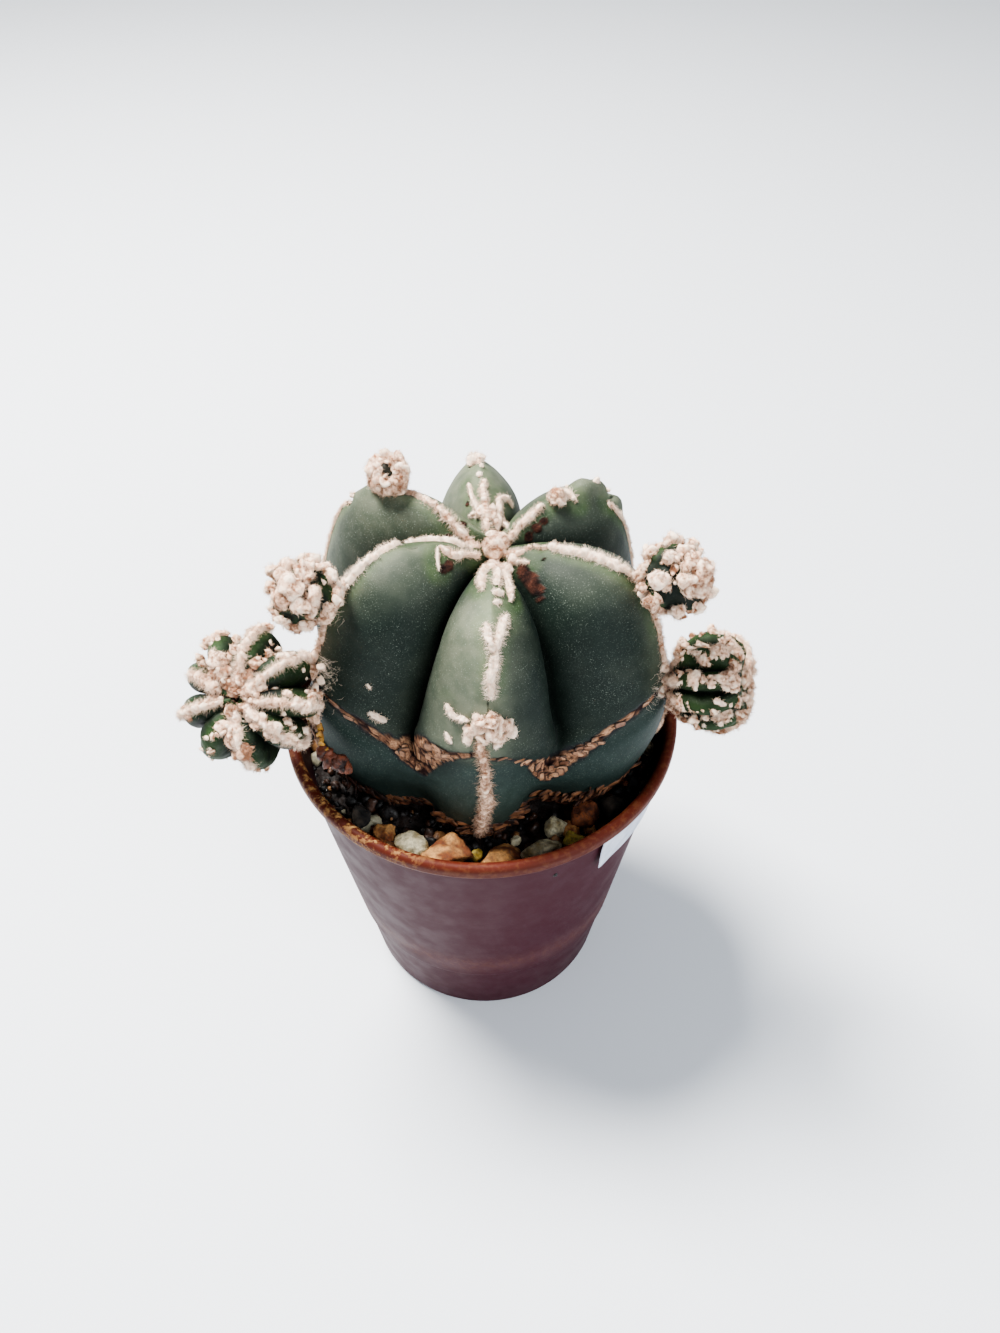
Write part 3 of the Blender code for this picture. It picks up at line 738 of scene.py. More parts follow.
# Felt along the stem's crests: piece, height, tone, then stops of (azimuth, ring, half width)
STEM_WOOL = (
    ("back_left_crown", 0.6, 0.55, (
        (200, 0.61, 0.49), (176, 0.93, 0.59), (169, 1.22, 0.65), (164, 1.41, 0.54), (160, 1.64, 0.54),
        (156, 1.93, 0.49), (154, 2.25, 0.49), (151, 2.65, 0.49), (148, 3.1, 0.43),
    )),
    ("front_left_crown", 0.5, 0.8, (
        (205, 0.9, 0.32), (190, 1.22, 0.43), (186, 1.52, 0.43), (184, 1.88, 0.43), (184, 2.3, 0.38),
        (186, 2.8, 0.38),
    )),
    ("front_left_crown", 0.5, 0.6, (
        (226, 0.81, 0.38), (218, 1.09, 0.43), (215, 1.47, 0.54), (213, 1.7, 0.54), (207, 1.81, 0.38),
        (201, 1.89, 0.27),
    )),
    ("front_left_crown", 0.35, 0.85, (
        (202, 1.93, 0.2), (211, 2.11, 0.18), (217, 2.25, 0.18), (222, 2.4, 0.16),
    )),
    ("front_left_upper", 0.55, 0.85, (
        (188, 2.9, 0.45), (193, 3.15, 0.59), (197, 3.4, 0.62), (199, 3.7, 0.62), (200, 4.04, 0.56),
        (201, 4.38, 0.56), (201, 4.69, 0.54),
    )),
    ("front_crown", 0.55, 0.5, ((250, 1.2, 0.45), (270, 1.3, 0.6), (290, 1.2, 0.55), (311, 1.06, 0.43))),
    ("front_crown", 0.55, 0.5, ((258, 0.85, 0.45), (275, 0.95, 0.6), (292, 0.85, 0.45))),
    ("front_crown", 0.6, 0.7, ((260, 1.39, 0.43), (259, 1.94, 0.45), (261, 2.3, 0.45), (264, 2.62, 0.32))),
    ("front_crown", 0.4, 0.7, ((259, 1.88, 0.27), (257, 2.25, 0.17))),
    ("front_crown", 0.6, 0.75, ((278, 1.5, 0.32), (276, 2.05, 0.45), (275, 2.42, 0.6))),
    ("front_crown", 0.55, 0.9, ((279, 2.72, 0.42), (275, 2.74, 0.5), (270.5, 2.76, 0.42))),
    ("front_crown", 0.45, 0.85, ((276, 3.08, 0.34), (273.5, 3.1, 0.38), (271, 3.12, 0.3))),
    ("front_crown", 0.55, 0.7, (
        (290, 1.36, 0.43), (287, 1.96, 0.38), (285, 2.42, 0.38), (283.5, 2.8, 0.32), (282, 3.04, 0.22),
    )),
    ("front_upper", 0.5, 0.88, (
        (267.5, 3.78, 0.4), (269, 4.09, 0.55), (270, 4.39, 0.55), (271, 4.68, 0.6),
    )),
    ("front_upper", 0.5, 0.88, (
        (278, 3.5, 0.38), (276, 3.83, 0.52), (274, 4.08, 0.52), (273, 4.39, 0.58), (272, 4.68, 0.6),
    )),
    ("front_upper", 0.55, 0.9, (
        (272, 4.62, 0.64), (272, 4.98, 0.7), (271, 5.36, 0.66), (271, 5.74, 0.6), (271, 6.1, 0.44),
    )),
    ("front_lower", 0.6, 0.3, (
        (268, 7.3, 0.6), (268.9, 7.7, 0.6), (269.7, 8.7, 0.6), (270.6, 10.0, 0.72), (270.9, 10.9, 0.6),
    )),
    ("front_lower", 0.6, 0.3, (
        (270.8, 10.8, 0.7), (271, 11.4, 1.05), (270.7, 11.8, 0.75), (270.4, 12.6, 0.95), (270, 13.2, 0.85),
        (269.6, 14.0, 0.6),
    )),
    ("front_right_crown", 0.45, 0.5, (
        (322, 0.75, 0.35), (328, 0.95, 0.32), (329, 1.13, 0.43), (330, 1.29, 0.38), (337, 1.39, 0.32),
        (341, 1.58, 0.28), (342, 1.79, 0.28), (340, 1.94, 0.32),
    )),
    ("front_right_crown", 0.6, 0.85, (
        (341, 1.87, 0.27), (340, 2.04, 0.43), (339, 2.25, 0.54), (339, 2.49, 0.65), (339, 2.73, 0.7),
        (339, 2.99, 0.65), (339, 3.25, 0.65), (339, 3.59, 0.59), (339, 3.88, 0.54), (339, 4.21, 0.5),
    )),
    ("front_right_crown", 0.55, 0.8, ((339.4, 4.1, 0.5), (340, 4.6, 0.45), (338.6, 5.2, 0.4))),
    ("front_right_crown", 0.45, 0.6, (
        (314, 1.05, 0.42), (316, 1.3, 0.38), (317, 1.5, 0.32), (320, 1.77, 0.25),
    )),
    ("front_right_side", 0.4, 0.4, (
        (338.6, 5.1, 0.4), (338.8, 5.8, 0.4), (339, 6.4, 0.42), (339.6, 7.2, 0.45), (340, 8.2, 0.4),
    )),
    ("front_right_side", 0.3, 0.35, ((340, 9.3, 0.4), (340.5, 10.4, 0.35), (340, 11.6, 0.3))),
    ("back_right_crown", 0.55, 0.6, (
        (15, 0.65, 0.43), (23, 0.98, 0.43), (28, 1.25, 0.43), (30, 1.53, 0.43), (31, 1.79, 0.43),
        (34, 2.1, 0.43),
    )),
    ("back_right_crown", 0.55, 0.8, ((37, 2.4, 0.49), (36, 2.7, 0.52), (31, 2.9, 0.48), (26.5, 3.0, 0.3))),
    ("back_right_side", 0.35, 0.62, (
        (26, 4.1, 0.36), (24.5, 4.6, 0.36), (25.2, 5.5, 0.36), (26, 6.4, 0.36), (31, 7.4, 0.36),
        (33, 8.3, 0.36),
    )),
    ("back_right_side", 0.3, 0.35, ((33, 9.4, 0.4), (33, 11.8, 0.3))),
    ("back_crown", 0.55, 0.6, (
        (109, 0.7, 0.54), (102, 1.07, 0.65), (99, 1.33, 0.65), (99, 1.58, 0.54), (99, 1.89, 0.43),
        (98, 2.21, 0.43), (97, 2.46, 0.32),
    )),
    ("back_crown", 0.5, 0.7, (
        (75, 0.92, 0.54), (80, 1.29, 0.59), (81, 1.6, 0.54), (82, 1.9, 0.43), (83, 2.1, 0.43),
        (80, 2.43, 0.38), (76, 2.59, 0.32), (72, 2.65, 0.22),
    )),
    ("back_crown", 0.45, 0.75, (
        (108, 1.47, 0.54), (109, 1.76, 0.38), (110, 2.14, 0.32), (108, 2.47, 0.27), (107, 2.76, 0.22),
    )),
    ("back_crown", 0.4, 0.8, ((112, 1.54, 0.43), (117, 1.68, 0.32), (121, 1.8, 0.22))),
    ("back_crown", 0.4, 0.75, ((73, 1.66, 0.32), (58, 1.2, 0.32), (45, 0.95, 0.22))),
    ("back_side", 0.45, 0.62, (
        (97.5, 3.15, 0.55), (99, 3.5, 0.7), (99, 4.0, 0.6), (98, 4.8, 0.5), (98.5, 5.8, 0.5),
        (98, 7.2, 0.5), (98, 8.4, 0.4),
    )),
    ("back_side", 0.3, 0.35, ((98, 9.4, 0.45), (98.6, 12.0, 0.3))),
    ("back_left_side", 0.35, 0.68, (
        (155, 4.75, 0.38), (155.8, 5.3, 0.38), (156, 6.3, 0.38), (156.4, 7.3, 0.38), (156, 8.3, 0.38),
    )),
    ("back_left_side", 0.3, 0.35, ((156, 9.4, 0.4), (156.5, 11.9, 0.3))),
    ("front_left_side", 0.45, 0.4, (
        (200.8, 4.9, 0.45), (200.5, 5.4, 0.42), (200, 6.0, 0.45), (199.6, 6.8, 0.5), (199.4, 7.6, 0.5),
    )),
    ("front_left_side", 0.3, 0.45, ((199, 9.3, 0.42), (199, 10.6, 0.4), (199, 11.8, 0.3))),
    ("front_areole", 0.4, 0.8, (
        (254.5, 6.38, 0.36), (256.6, 6.62, 0.4), (259, 6.74, 0.36), (262, 6.68, 0.36),
    )),
    ("front_areole", 0.3, 0.7, ((255.2, 7.35, 0.3), (256.6, 7.6, 0.38), (258.2, 7.75, 0.3))),
    ("front_areole", 0.4, 0.8, ((223, 7.85, 0.4), (226, 7.98, 0.5), (228, 8.1, 0.35))),
    ("front_areole", 0.3, 0.9, ((220.6, 6.78, 0.25), (221.8, 6.9, 0.35))),
)
# Lumps of wool on the stem: piece, then (azimuth, ring, radius, tone) of each
STEM_LUMPS = (
    ("front_areole", (
        (268.0, 6.75, 1.15, 0.5), (271.5, 6.65, 1.25, 0.42), (275.5, 6.85, 1.1, 0.5),
        (278.4, 7.1, 0.8, 0.75), (271.6, 7.05, 1.1, 0.45), (264.6, 7.0, 0.85, 0.75),
        (264.2, 7.42, 0.65, 0.85), (274.4, 7.35, 0.8, 0.55), (262.0, 6.72, 0.55, 0.85),
        (273.8, 7.62, 0.5, 1.0), (269.3, 7.3, 0.8, 0.5), (266.4, 6.6, 0.6, 0.7),
    )),
    ("back_side", ((100.0, 3.45, 0.95, 0.85), (97.0, 3.6, 0.85, 0.85))),
    ("back_crown", (
        (97.6, 3.0, 0.36, 0.9), (98.4, 2.64, 0.42, 0.9), (108, 1.45, 0.7, 0.6), (97, 1.2, 0.75, 0.5),
        (90, 1.5, 0.6, 0.65), (84, 1.15, 0.6, 0.6),
    )),
    ("back_right_crown", (
        (37.4, 3.08, 0.3, 0.9), (33.2, 3.7, 0.42, 0.95), (32.2, 4.28, 0.34, 0.9), (35.0, 3.4, 0.22, 0.9),
    )),
    ("back_left_side", ((148.0, 3.85, 0.4, 0.95), (155.6, 4.45, 0.45, 0.9))),
    ("front_right_crown", ((306, 1.35, 0.65, 0.7), (316, 1.2, 0.6, 0.6))),
    ("front_right_side", (
        (338.6, 7.4, 0.8, 0.6), (338.0, 7.9, 0.75, 0.45), (337.4, 8.4, 0.7, 0.55), (336, 8.7, 0.45, 0.8),
    )),
    ("front_left_side", ((201.0, 4.9, 0.8, 0.7), (202.5, 5.15, 0.6, 0.75))),
    ("front_left_upper", ((200.5, 4.65, 0.8, 0.75),)),
    ("front_left_side", ((204, 7.2, 0.6, 0.7), (205, 7.7, 0.55, 0.8), (203, 8.2, 0.5, 0.8))),
)
# The stem's felt pieces, each named after its CAD node
WOOL_PIECES = (
    "front_crown", "front_upper", "front_lower", "front_right_crown", "front_right_side",
    "back_right_crown", "back_right_side", "back_crown", "back_side", "back_left_crown", "back_left_side",
    "front_left_crown", "front_left_upper", "front_left_side", "front_areole",
)


def wool_paths():
    """The centre lines of the stem's felt, in millimetres, with the half width at each point."""
    found = []
    for piece, height, tone, stops in STEM_WOOL:
        places = np.array(stops, float)
        at = np.linspace(0, len(places) - 1, (len(places) - 1) * 12 + 1)
        azimuth, ring, width = (np.interp(at, np.arange(len(places)), places[:, k]) for k in range(3))
        found.append((piece, stem_points(azimuth, ring), width, height, tone))
    return found


def build_stem_wool(host, material, paths):
    soups = {piece: Soup() for piece in WOOL_PIECES}
    for seed, (piece, path, width, height, tone) in enumerate(paths, 100):
        wool_line(soups[piece], host, path, width, height, seed * 7, tone)
    lumps = [(piece, *lump) for piece, group in STEM_LUMPS for lump in group]
    for seed, (piece, azimuth, ring, radius, tone) in enumerate(lumps, 300):
        place, normal = host.nearest(stem_points(azimuth, ring)[None])
        wool_lump(soups[piece], place[0] + normal[0] * radius * 0.2, radius * 0.85, seed * 5, tone)
    for piece, soup in soups.items():
        finished(soup.build(f"felt_{piece}", material), "wool", f"wool_{piece}")


def build_crown_tuft(material):
    """The tight woolly ball in the crown, sunk among the ribs."""
    soup = Soup()
    centre = middle("wool_crown_tuft")[0] - (0.25, 0.0, 2.7)
    wool_lump(soup, centre, (1.7, 1.65, 1.75), 901, 0.32, VIEW_AXES, 200, 0.35, 4)
    rng = np.random.default_rng(902)
    for i in range(24):
        turn = i * 2.4
        high = 1 - 1.5 * (i + 0.5) / 24
        flat = math.sqrt(1 - high**2)
        out = np.array((math.cos(turn) * flat, math.sin(turn) * flat, high))
        size, tone = rng.uniform(0.6, 0.85), rng.uniform(0.25, 0.45)
        wool_lump(soup, centre + out * 1.05, size, 910 + i * 3, tone, VIEW_AXES, 200, 0.5)
    finished(soup.build("felt_crown_tuft", material), "wool", "wool_crown_tuft")


# ---------------------------------------------------------------- offsets


class Globe:
    """A little ribbed plant: a flattened ball with ribs at given turns round its axis."""

    def __init__(self, centre, axis, across, turns, radius, half, depth):
        self.centre = np.asarray(centre, float)
        self.axis = unit(np.asarray(axis, float))
        self.side = unit(across - self.axis * (across @ self.axis))
        self.other = np.cross(self.axis, self.side)
        self.turns = np.sort(np.array(turns) % 360)
        self.radius, self.half, self.depth = radius, half, depth

    def points(self, turn, place):
        """place is 0 at the tip, 1 near the base."""
        turn, place = np.broadcast_arrays(np.asarray(turn, float), np.asarray(place, float))
        here = turn[..., None] % 360
        gaps = np.abs((here - self.turns + 180) % 360 - 180)
        nearest = np.argmin(gaps, -1)
        following = (np.roll(self.turns, -1) - self.turns) % 360
        before = np.roll(following, 1)
        ahead = (here[..., 0] - self.turns[nearest] + 180) % 360 - 180
        half_gap = np.where(ahead >= 0, following[nearest], before[nearest]) / 2
        share = np.minimum(np.abs(ahead) / half_gap, 1)
        lobe = np.sqrt(np.maximum(1 - share**3, 0)) * (1 - 0.15 * share)
        polar = np.radians(place * 150)
        fall = np.sin(polar)
        deep = self.depth * (0.35 + 0.65 * fall)
        out = self.radius * fall**0.8 * (1 - deep * (1 - lobe))
        dimple = 0.22 * np.exp(-((place / 0.16) ** 2))
        rise = self.half * (np.cos(polar) * (1 - 0.12 * (1 - lobe)) - dimple)
        angle = np.radians(turn)
        flat = np.cos(angle)[..., None] * self.side + np.sin(angle)[..., None] * self.other
        return self.centre + flat * out[..., None] + self.axis * rise[..., None]


# Clumps of wool on each offset as the camera sees them, in millimetres from its centre: right, up, half size
# across, half size up, tone
LEFT_UPPER_WOOL = (
    (-1.5, 3.1, 0.97, 0.80, 0.85), (-0.2, 4.1, 0.34, 0.23, 0.9), (1.4, 4.2, 0.86, 0.57, 0.9),
    (-2.0, 1.8, 0.91, 0.80, 0.75), (-1.2, 0.6, 1.26, 1.03, 0.7), (-2.2, -0.6, 0.91, 1.03, 0.6),
    (0.1, 2.6, 0.69, 0.91, 0.75), (0.9, 3.0, 0.69, 0.69, 0.8), (1.1, 1.8, 0.57, 0.57, 0.7),
    (2.0, 2.9, 0.46, 0.46, 0.7), (3.6, 2.2, 0.80, 0.74, 0.85), (-3.4, 0.5, 0.51, 0.63, 0.7),
    (0.6, 0.8, 0.34, 0.23, 0.8), (1.6, -0.1, 0.74, 0.97, 0.8), (0.7, -0.4, 0.23, 0.23, 0.7),
    (0.1, -1.6, 0.91, 0.86, 0.75), (1.5, -1.5, 0.57, 0.80, 0.7), (3.2, -2.0, 0.91, 0.91, 0.75),
    (2.6, -3.0, 0.80, 0.57, 0.65), (4.4, 1.5, 0.40, 0.57, 0.75), (4.6, 0.1, 0.51, 0.91, 0.75),
    (4.9, -1.1, 0.51, 0.69, 0.7), (-2.0, -3.1, 0.80, 0.57, 0.75), (-3.0, -2.3, 0.46, 0.69, 0.6),
    (-0.6, -4.0, 0.91, 0.46, 0.5), (1.0, -3.6, 0.91, 0.57, 0.6), (-0.4, -4.8, 0.57, 0.34, 0.2),
    (2.6, 1.2, 0.29, 0.29, 0.8), (4.1, -1.7, 0.34, 0.46, 0.7), (-2.2, -1.5, 0.69, 0.57, 0.5),
    (0.9, -2.7, 0.46, 0.34, 0.4),
)
RIGHT_UPPER_WOOL = (
    (-0.7, 4.5, 0.96, 0.73, 0.85), (1.7, 3.7, 0.56, 0.62, 0.8), (-2.5, 3.7, 0.56, 0.34, 0.7),
    (-3.0, 2.8, 0.84, 0.79, 0.8), (-3.6, 2.5, 0.45, 0.68, 0.7), (-0.8, 2.3, 0.84, 0.73, 0.95),
    (-0.5, 0.9, 0.39, 0.56, 0.6), (1.0, 2.9, 0.79, 0.68, 0.8), (1.7, 2.0, 0.79, 0.79, 0.65),
    (1.0, 1.2, 0.68, 0.56, 0.65), (-2.1, -0.2, 0.96, 0.90, 0.85), (-1.2, -1.1, 0.45, 0.45, 0.75),
    (1.0, -0.4, 0.90, 0.79, 0.8), (1.3, -1.6, 0.56, 0.68, 0.75), (2.6, 0.3, 1.01, 1.24, 0.65),
    (3.0, 1.1, 0.79, 0.90, 0.7), (2.5, -1.6, 0.90, 0.68, 0.75), (3.5, -0.4, 0.56, 0.90, 0.65),
    (3.0, -2.2, 0.56, 0.68, 0.4), (-3.8, 0.9, 0.51, 0.45, 0.75), (-4.6, 0.2, 0.56, 0.56, 0.6),
    (-4.4, -1.3, 0.56, 0.56, 0.6), (-3.2, -2.8, 0.90, 0.79, 0.6), (-2.3, -2.2, 0.34, 0.90, 0.6),
    (-3.8, -3.3, 0.45, 0.34, 0.35), (-2.5, -3.7, 0.56, 0.45, 0.45), (-0.0, -3.6, 0.68, 0.79, 0.85),
    (-0.8, -4.0, 0.45, 0.34, 0.6), (1.9, -3.1, 0.45, 0.39, 0.75), (0.2, -4.9, 0.68, 0.34, 0.15),
    (1.6, -4.0, 0.56, 0.34, 0.4), (-0.3, -0.7, 0.19, 0.19, 0.9), (-3.5, 1.6, 0.34, 0.45, 0.7),
    (-1.7, 1.6, 0.23, 0.23, 0.8),
)
LEFT_LOWER_WOOL = (
    (-0.2, 8.3, 0.62, 0.74, 0.75), (-1.4, 7.5, 0.62, 0.62, 0.75), (-0.9, 6.4, 0.74, 0.49, 0.7),
    (-1.9, 6.1, 0.49, 0.62, 0.7), (-2.5, 5.3, 0.74, 0.49, 0.7), (-3.6, 5.0, 0.74, 0.62, 0.6),
    (-4.5, 4.5, 0.62, 0.62, 0.6), (-3.4, 3.5, 0.74, 0.62, 0.5), (-3.1, 2.0, 0.74, 0.62, 0.4),
    (-4.5, 3.0, 0.74, 0.62, 0.55), (-5.6, 2.5, 0.62, 0.62, 0.6), (-3.4, 8.5, 0.74, 0.37, 0.8),
    (-4.6, 7.7, 0.49, 0.37, 0.9), (-5.7, 7.4, 0.74, 0.49, 0.7), (-6.3, 6.8, 0.49, 0.37, 0.7),
    (-6.3, 5.2, 0.49, 0.74, 0.7), (-5.8, 4.1, 0.49, 0.62, 0.6), (-4.8, 1.7, 0.74, 0.49, 0.55),
    (2.1, 9.5, 0.74, 0.37, 0.6), (0.8, 9.0, 0.74, 0.37, 0.7), (2.1, 5.4, 0.74, 0.74, 0.65),
    (4.2, 5.2, 0.86, 0.62, 0.9), (5.0, 5.0, 0.62, 0.62, 0.85), (6.3, 5.8, 0.62, 0.31, 0.85),
    (7.6, 5.6, 0.49, 0.49, 0.8), (3.1, 6.1, 0.49, 0.37, 0.7), (-0.2, 3.0, 0.74, 0.74, 0.45),
    (0.6, 4.2, 0.74, 0.74, 0.55), (-1.4, 2.2, 0.74, 0.74, 0.4), (-1.9, 1.1, 0.74, 0.74, 0.25),
    (-0.4, 0.9, 0.99, 0.86, 0.7), (0.6, -0.2, 0.86, 0.74, 0.75), (1.3, 1.5, 0.49, 0.43, 0.85),
    (2.9, 1.4, 0.49, 0.56, 0.95), (2.1, -0.4, 0.74, 0.49, 0.75), (3.6, -0.2, 0.74, 0.37, 0.8),
    (4.4, 0.6, 0.62, 0.43, 0.9), (5.6, -0.2, 0.62, 0.49, 0.85), (6.6, -1.0, 0.86, 0.62, 0.9),
    (7.5, 0.1, 0.62, 0.62, 0.8), (8.0, -2.3, 0.62, 0.86, 0.75), (-0.9, -1.0, 0.74, 0.62, 0.55),
    (0.1, -2.1, 0.74, 0.62, 0.65), (1.3, -2.5, 0.74, 0.49, 0.85), (0.8, -3.3, 0.62, 0.49, 0.7),
    (2.9, -3.6, 0.74, 0.74, 0.95), (3.2, -4.8, 0.62, 0.37, 0.85), (4.3, -2.7, 0.74, 0.49, 0.85),
    (5.0, -3.6, 0.49, 0.37, 0.8), (4.8, -4.7, 0.74, 0.31, 0.7), (6.6, -3.9, 0.62, 0.49, 0.7),
    (2.1, -4.3, 0.49, 0.37, 0.7), (-2.4, -1.3, 0.74, 0.86, 0.45), (-3.1, -3.6, 1.11, 0.86, 0.75),
    (-2.2, -5.0, 0.74, 0.86, 0.6), (-0.6, -6.2, 0.86, 0.99, 0.25), (-0.3, -7.4, 0.49, 0.49, 0.3),
    (-1.6, -6.8, 0.62, 0.49, 0.4), (-4.3, -0.1, 0.86, 0.49, 0.55), (-5.6, -0.6, 0.86, 0.49, 0.6),
    (-6.8, -1.0, 0.74, 0.49, 0.65), (-7.9, -1.5, 0.62, 0.62, 0.7), (-7.4, -2.3, 0.62, 0.37, 0.45),
    (-4.7, -4.6, 0.31, 0.37, 0.7), (-4.8, -6.4, 0.49, 0.37, 0.5), (0.6, -8.6, 0.49, 0.37, 0.35),
    (1.9, -8.5, 0.37, 0.49, 0.35), (2.4, 6.9, 0.19, 0.37, 0.9), (6.8, 2.6, 0.19, 0.19, 1),
    (6.5, 3.6, 0.25, 0.27, 0.9), (8.2, 3.3, 0.49, 0.74, 0.7), (8.4, 1.9, 0.37, 0.49, 0.7),
    (8.7, 0.6, 0.37, 0.49, 0.7), (-1.8, -5.9, 0.37, 0.49, 0.4), (-2.4, 1.7, 0.62, 0.99, 0.25),
)
RIGHT_LOWER_WOOL = (
    (-0.0, 6.6, 0.62, 0.62, 0.7), (0.1, 6.0, 0.56, 0.37, 0.6), (-2.5, 5.5, 0.50, 0.50, 0.35),
    (-1.3, 5.8, 0.37, 0.31, 0.4), (-3.9, 4.7, 0.50, 0.50, 0.5), (-3.3, 4.4, 0.74, 0.37, 0.7),
    (-2.5, 4.0, 0.62, 0.25, 0.8), (-1.5, 4.5, 0.50, 0.37, 0.85), (-0.7, 4.1, 0.62, 0.43, 0.85),
    (-1.9, 3.4, 0.50, 0.37, 0.9), (-1.2, 2.6, 0.68, 0.56, 0.75), (0.5, 3.7, 0.87, 0.81, 0.85),
    (1.2, 3.5, 0.50, 0.74, 0.8), (1.1, 4.9, 0.37, 0.43, 0.85), (1.8, 5.2, 0.50, 0.50, 0.6),
    (2.3, 4.2, 0.62, 0.74, 0.65), (2.9, 3.1, 0.87, 0.99, 0.7), (-4.0, 3.5, 0.50, 0.50, 0.5),
    (-3.5, 3.7, 0.25, 0.25, 0.8), (-3.0, 3.6, 0.25, 0.19, 0.8), (-2.5, 3.5, 0.25, 0.19, 0.8),
    (-3.8, 2.7, 0.25, 0.25, 0.7), (-4.2, 2.6, 0.25, 0.25, 0.6), (4.8, 2.4, 0.62, 0.74, 0.8),
    (4.1, 1.8, 0.87, 0.74, 0.55), (2.6, 1.8, 0.74, 0.74, 0.5), (2.2, 0.4, 0.99, 0.87, 0.7),
    (3.7, 0.3, 0.99, 0.99, 0.65), (1.2, 0.3, 0.74, 0.62, 0.85), (4.4, -0.5, 0.62, 0.74, 0.6),
    (-2.3, 0.3, 0.74, 0.99, 0.9), (-2.9, 1.3, 0.37, 0.50, 0.9), (-1.2, 0.1, 0.37, 0.37, 0.9),
    (-0.0, 0.4, 0.50, 0.31, 0.8), (-0.2, -0.5, 0.50, 0.37, 0.65), (-4.9, 0.0, 0.74, 0.50, 0.95),
    (-4.0, 0.8, 0.37, 0.37, 0.6), (-4.4, 1.3, 0.37, 0.25, 0.5), (-5.0, 1.3, 0.50, 0.62, 0.6),
    (-5.9, -0.1, 0.50, 0.25, 0.6), (-5.4, -1.0, 0.56, 0.62, 0.6), (-5.5, -2.2, 0.62, 0.87, 0.6),
    (-5.6, -3.2, 0.62, 0.50, 0.55), (-4.1, -2.8, 0.62, 0.87, 0.75), (-4.2, -3.8, 0.50, 0.37, 0.5),
    (0.6, -2.5, 0.37, 0.31, 0.95), (1.1, -2.8, 0.37, 0.31, 0.95), (4.3, -2.6, 0.74, 0.68, 0.85),
    (3.6, -2.0, 0.62, 0.50, 0.75), (3.1, -2.7, 0.37, 0.62, 0.7), (3.4, -4.2, 0.74, 0.74, 0.5),
    (1.5, -4.2, 0.93, 0.81, 0.95), (-0.0, -3.8, 0.37, 0.50, 0.75), (0.5, -4.7, 0.62, 0.37, 0.85),
    (-0.9, -4.4, 0.50, 0.43, 0.9), (-2.3, -4.7, 0.74, 0.62, 0.85), (-1.9, -5.6, 0.50, 0.37, 0.5),
    (-2.8, -3.6, 0.19, 0.19, 0.8), (-3.0, -3.2, 0.16, 0.16, 0.8), (-1.9, -3.8, 0.19, 0.15, 0.8),
    (-2.4, -3.8, 0.16, 0.16, 0.8), (-1.3, -3.7, 0.16, 0.16, 0.8), (-3.3, -4.3, 0.19, 0.16, 0.8),
    (-3.4, -4.8, 0.50, 0.37, 0.15), (0.7, -6.7, 0.74, 0.37, 0.15), (1.6, -0.7, 0.62, 0.50, 0.8),
    (2.7, -1.0, 0.62, 0.37, 0.75), (-4.5, 3.7, 0.31, 0.62, 0.5), (-4.1, 5.5, 0.15, 0.50, 0.4),
)


def seen(host, centre, right, up):
    """Where the camera's line past the centre meets the host, or a place near its edge if it misses."""
    aim = centre + right * VIEW_RIGHT + up * VIEW_UP
    place, normal, _, _ = host.tree.ray_cast(Vector(EYE), Vector(aim - EYE).normalized())
    if place is None:
        edge, normal, _, _ = host.tree.find_nearest(Vector(aim))
        return np.array(edge) + 0.45 * (aim - np.array(edge)), np.array(normal)
    return np.array(place), np.array(normal)


def clumps(soup, host, centre, table, seed):
    """Wool clumps where the table says, flattened a little against the host."""
    rng = np.random.default_rng(seed)
    for i, (right, up, across, tall, tone) in enumerate(table):
        place, normal = seen(host, centre, right, up)
        tone = tone - 0.28
        deep = min(across, tall) * 0.95
        wool_lump(soup, place - normal * 0.1 * deep, (across * 1.1, tall * 1.1, deep), seed + i * 7, tone)
        for k in range(4 if min(across, tall) > 0.5 else 0):
            aside = rng.normal(size=2) * (across, tall) * 0.55
            spot, _ = host.nearest((place + aside[0] * VIEW_RIGHT + aside[1] * VIEW_UP)[None])
            lump = rng.uniform(0.3, 0.55, 3) * min(across, tall)
            at = spot[0] + normal * deep * rng.uniform(0, 0.7)
            wool_lump(soup, at, lump, seed + i * 7 + k + 50000, tone + rng.normal() * 0.12)


def hidden_clumps(soup, host, centre, directions, size, seed):
    """Wool clumps in the given directions that face away from the camera."""
    rng = np.random.default_rng(seed)
    away = unit(centre - EYE)
    for i, out in enumerate(directions):
        if out @ away > 0.05:
            place, normal = host.nearest((centre + out * 20)[None])
            at, lump = place[0] + normal[0] * 0.1, rng.uniform(*size, 3)
            wool_lump(soup, at, lump, seed + i * 7, rng.uniform(0.55, 0.95))


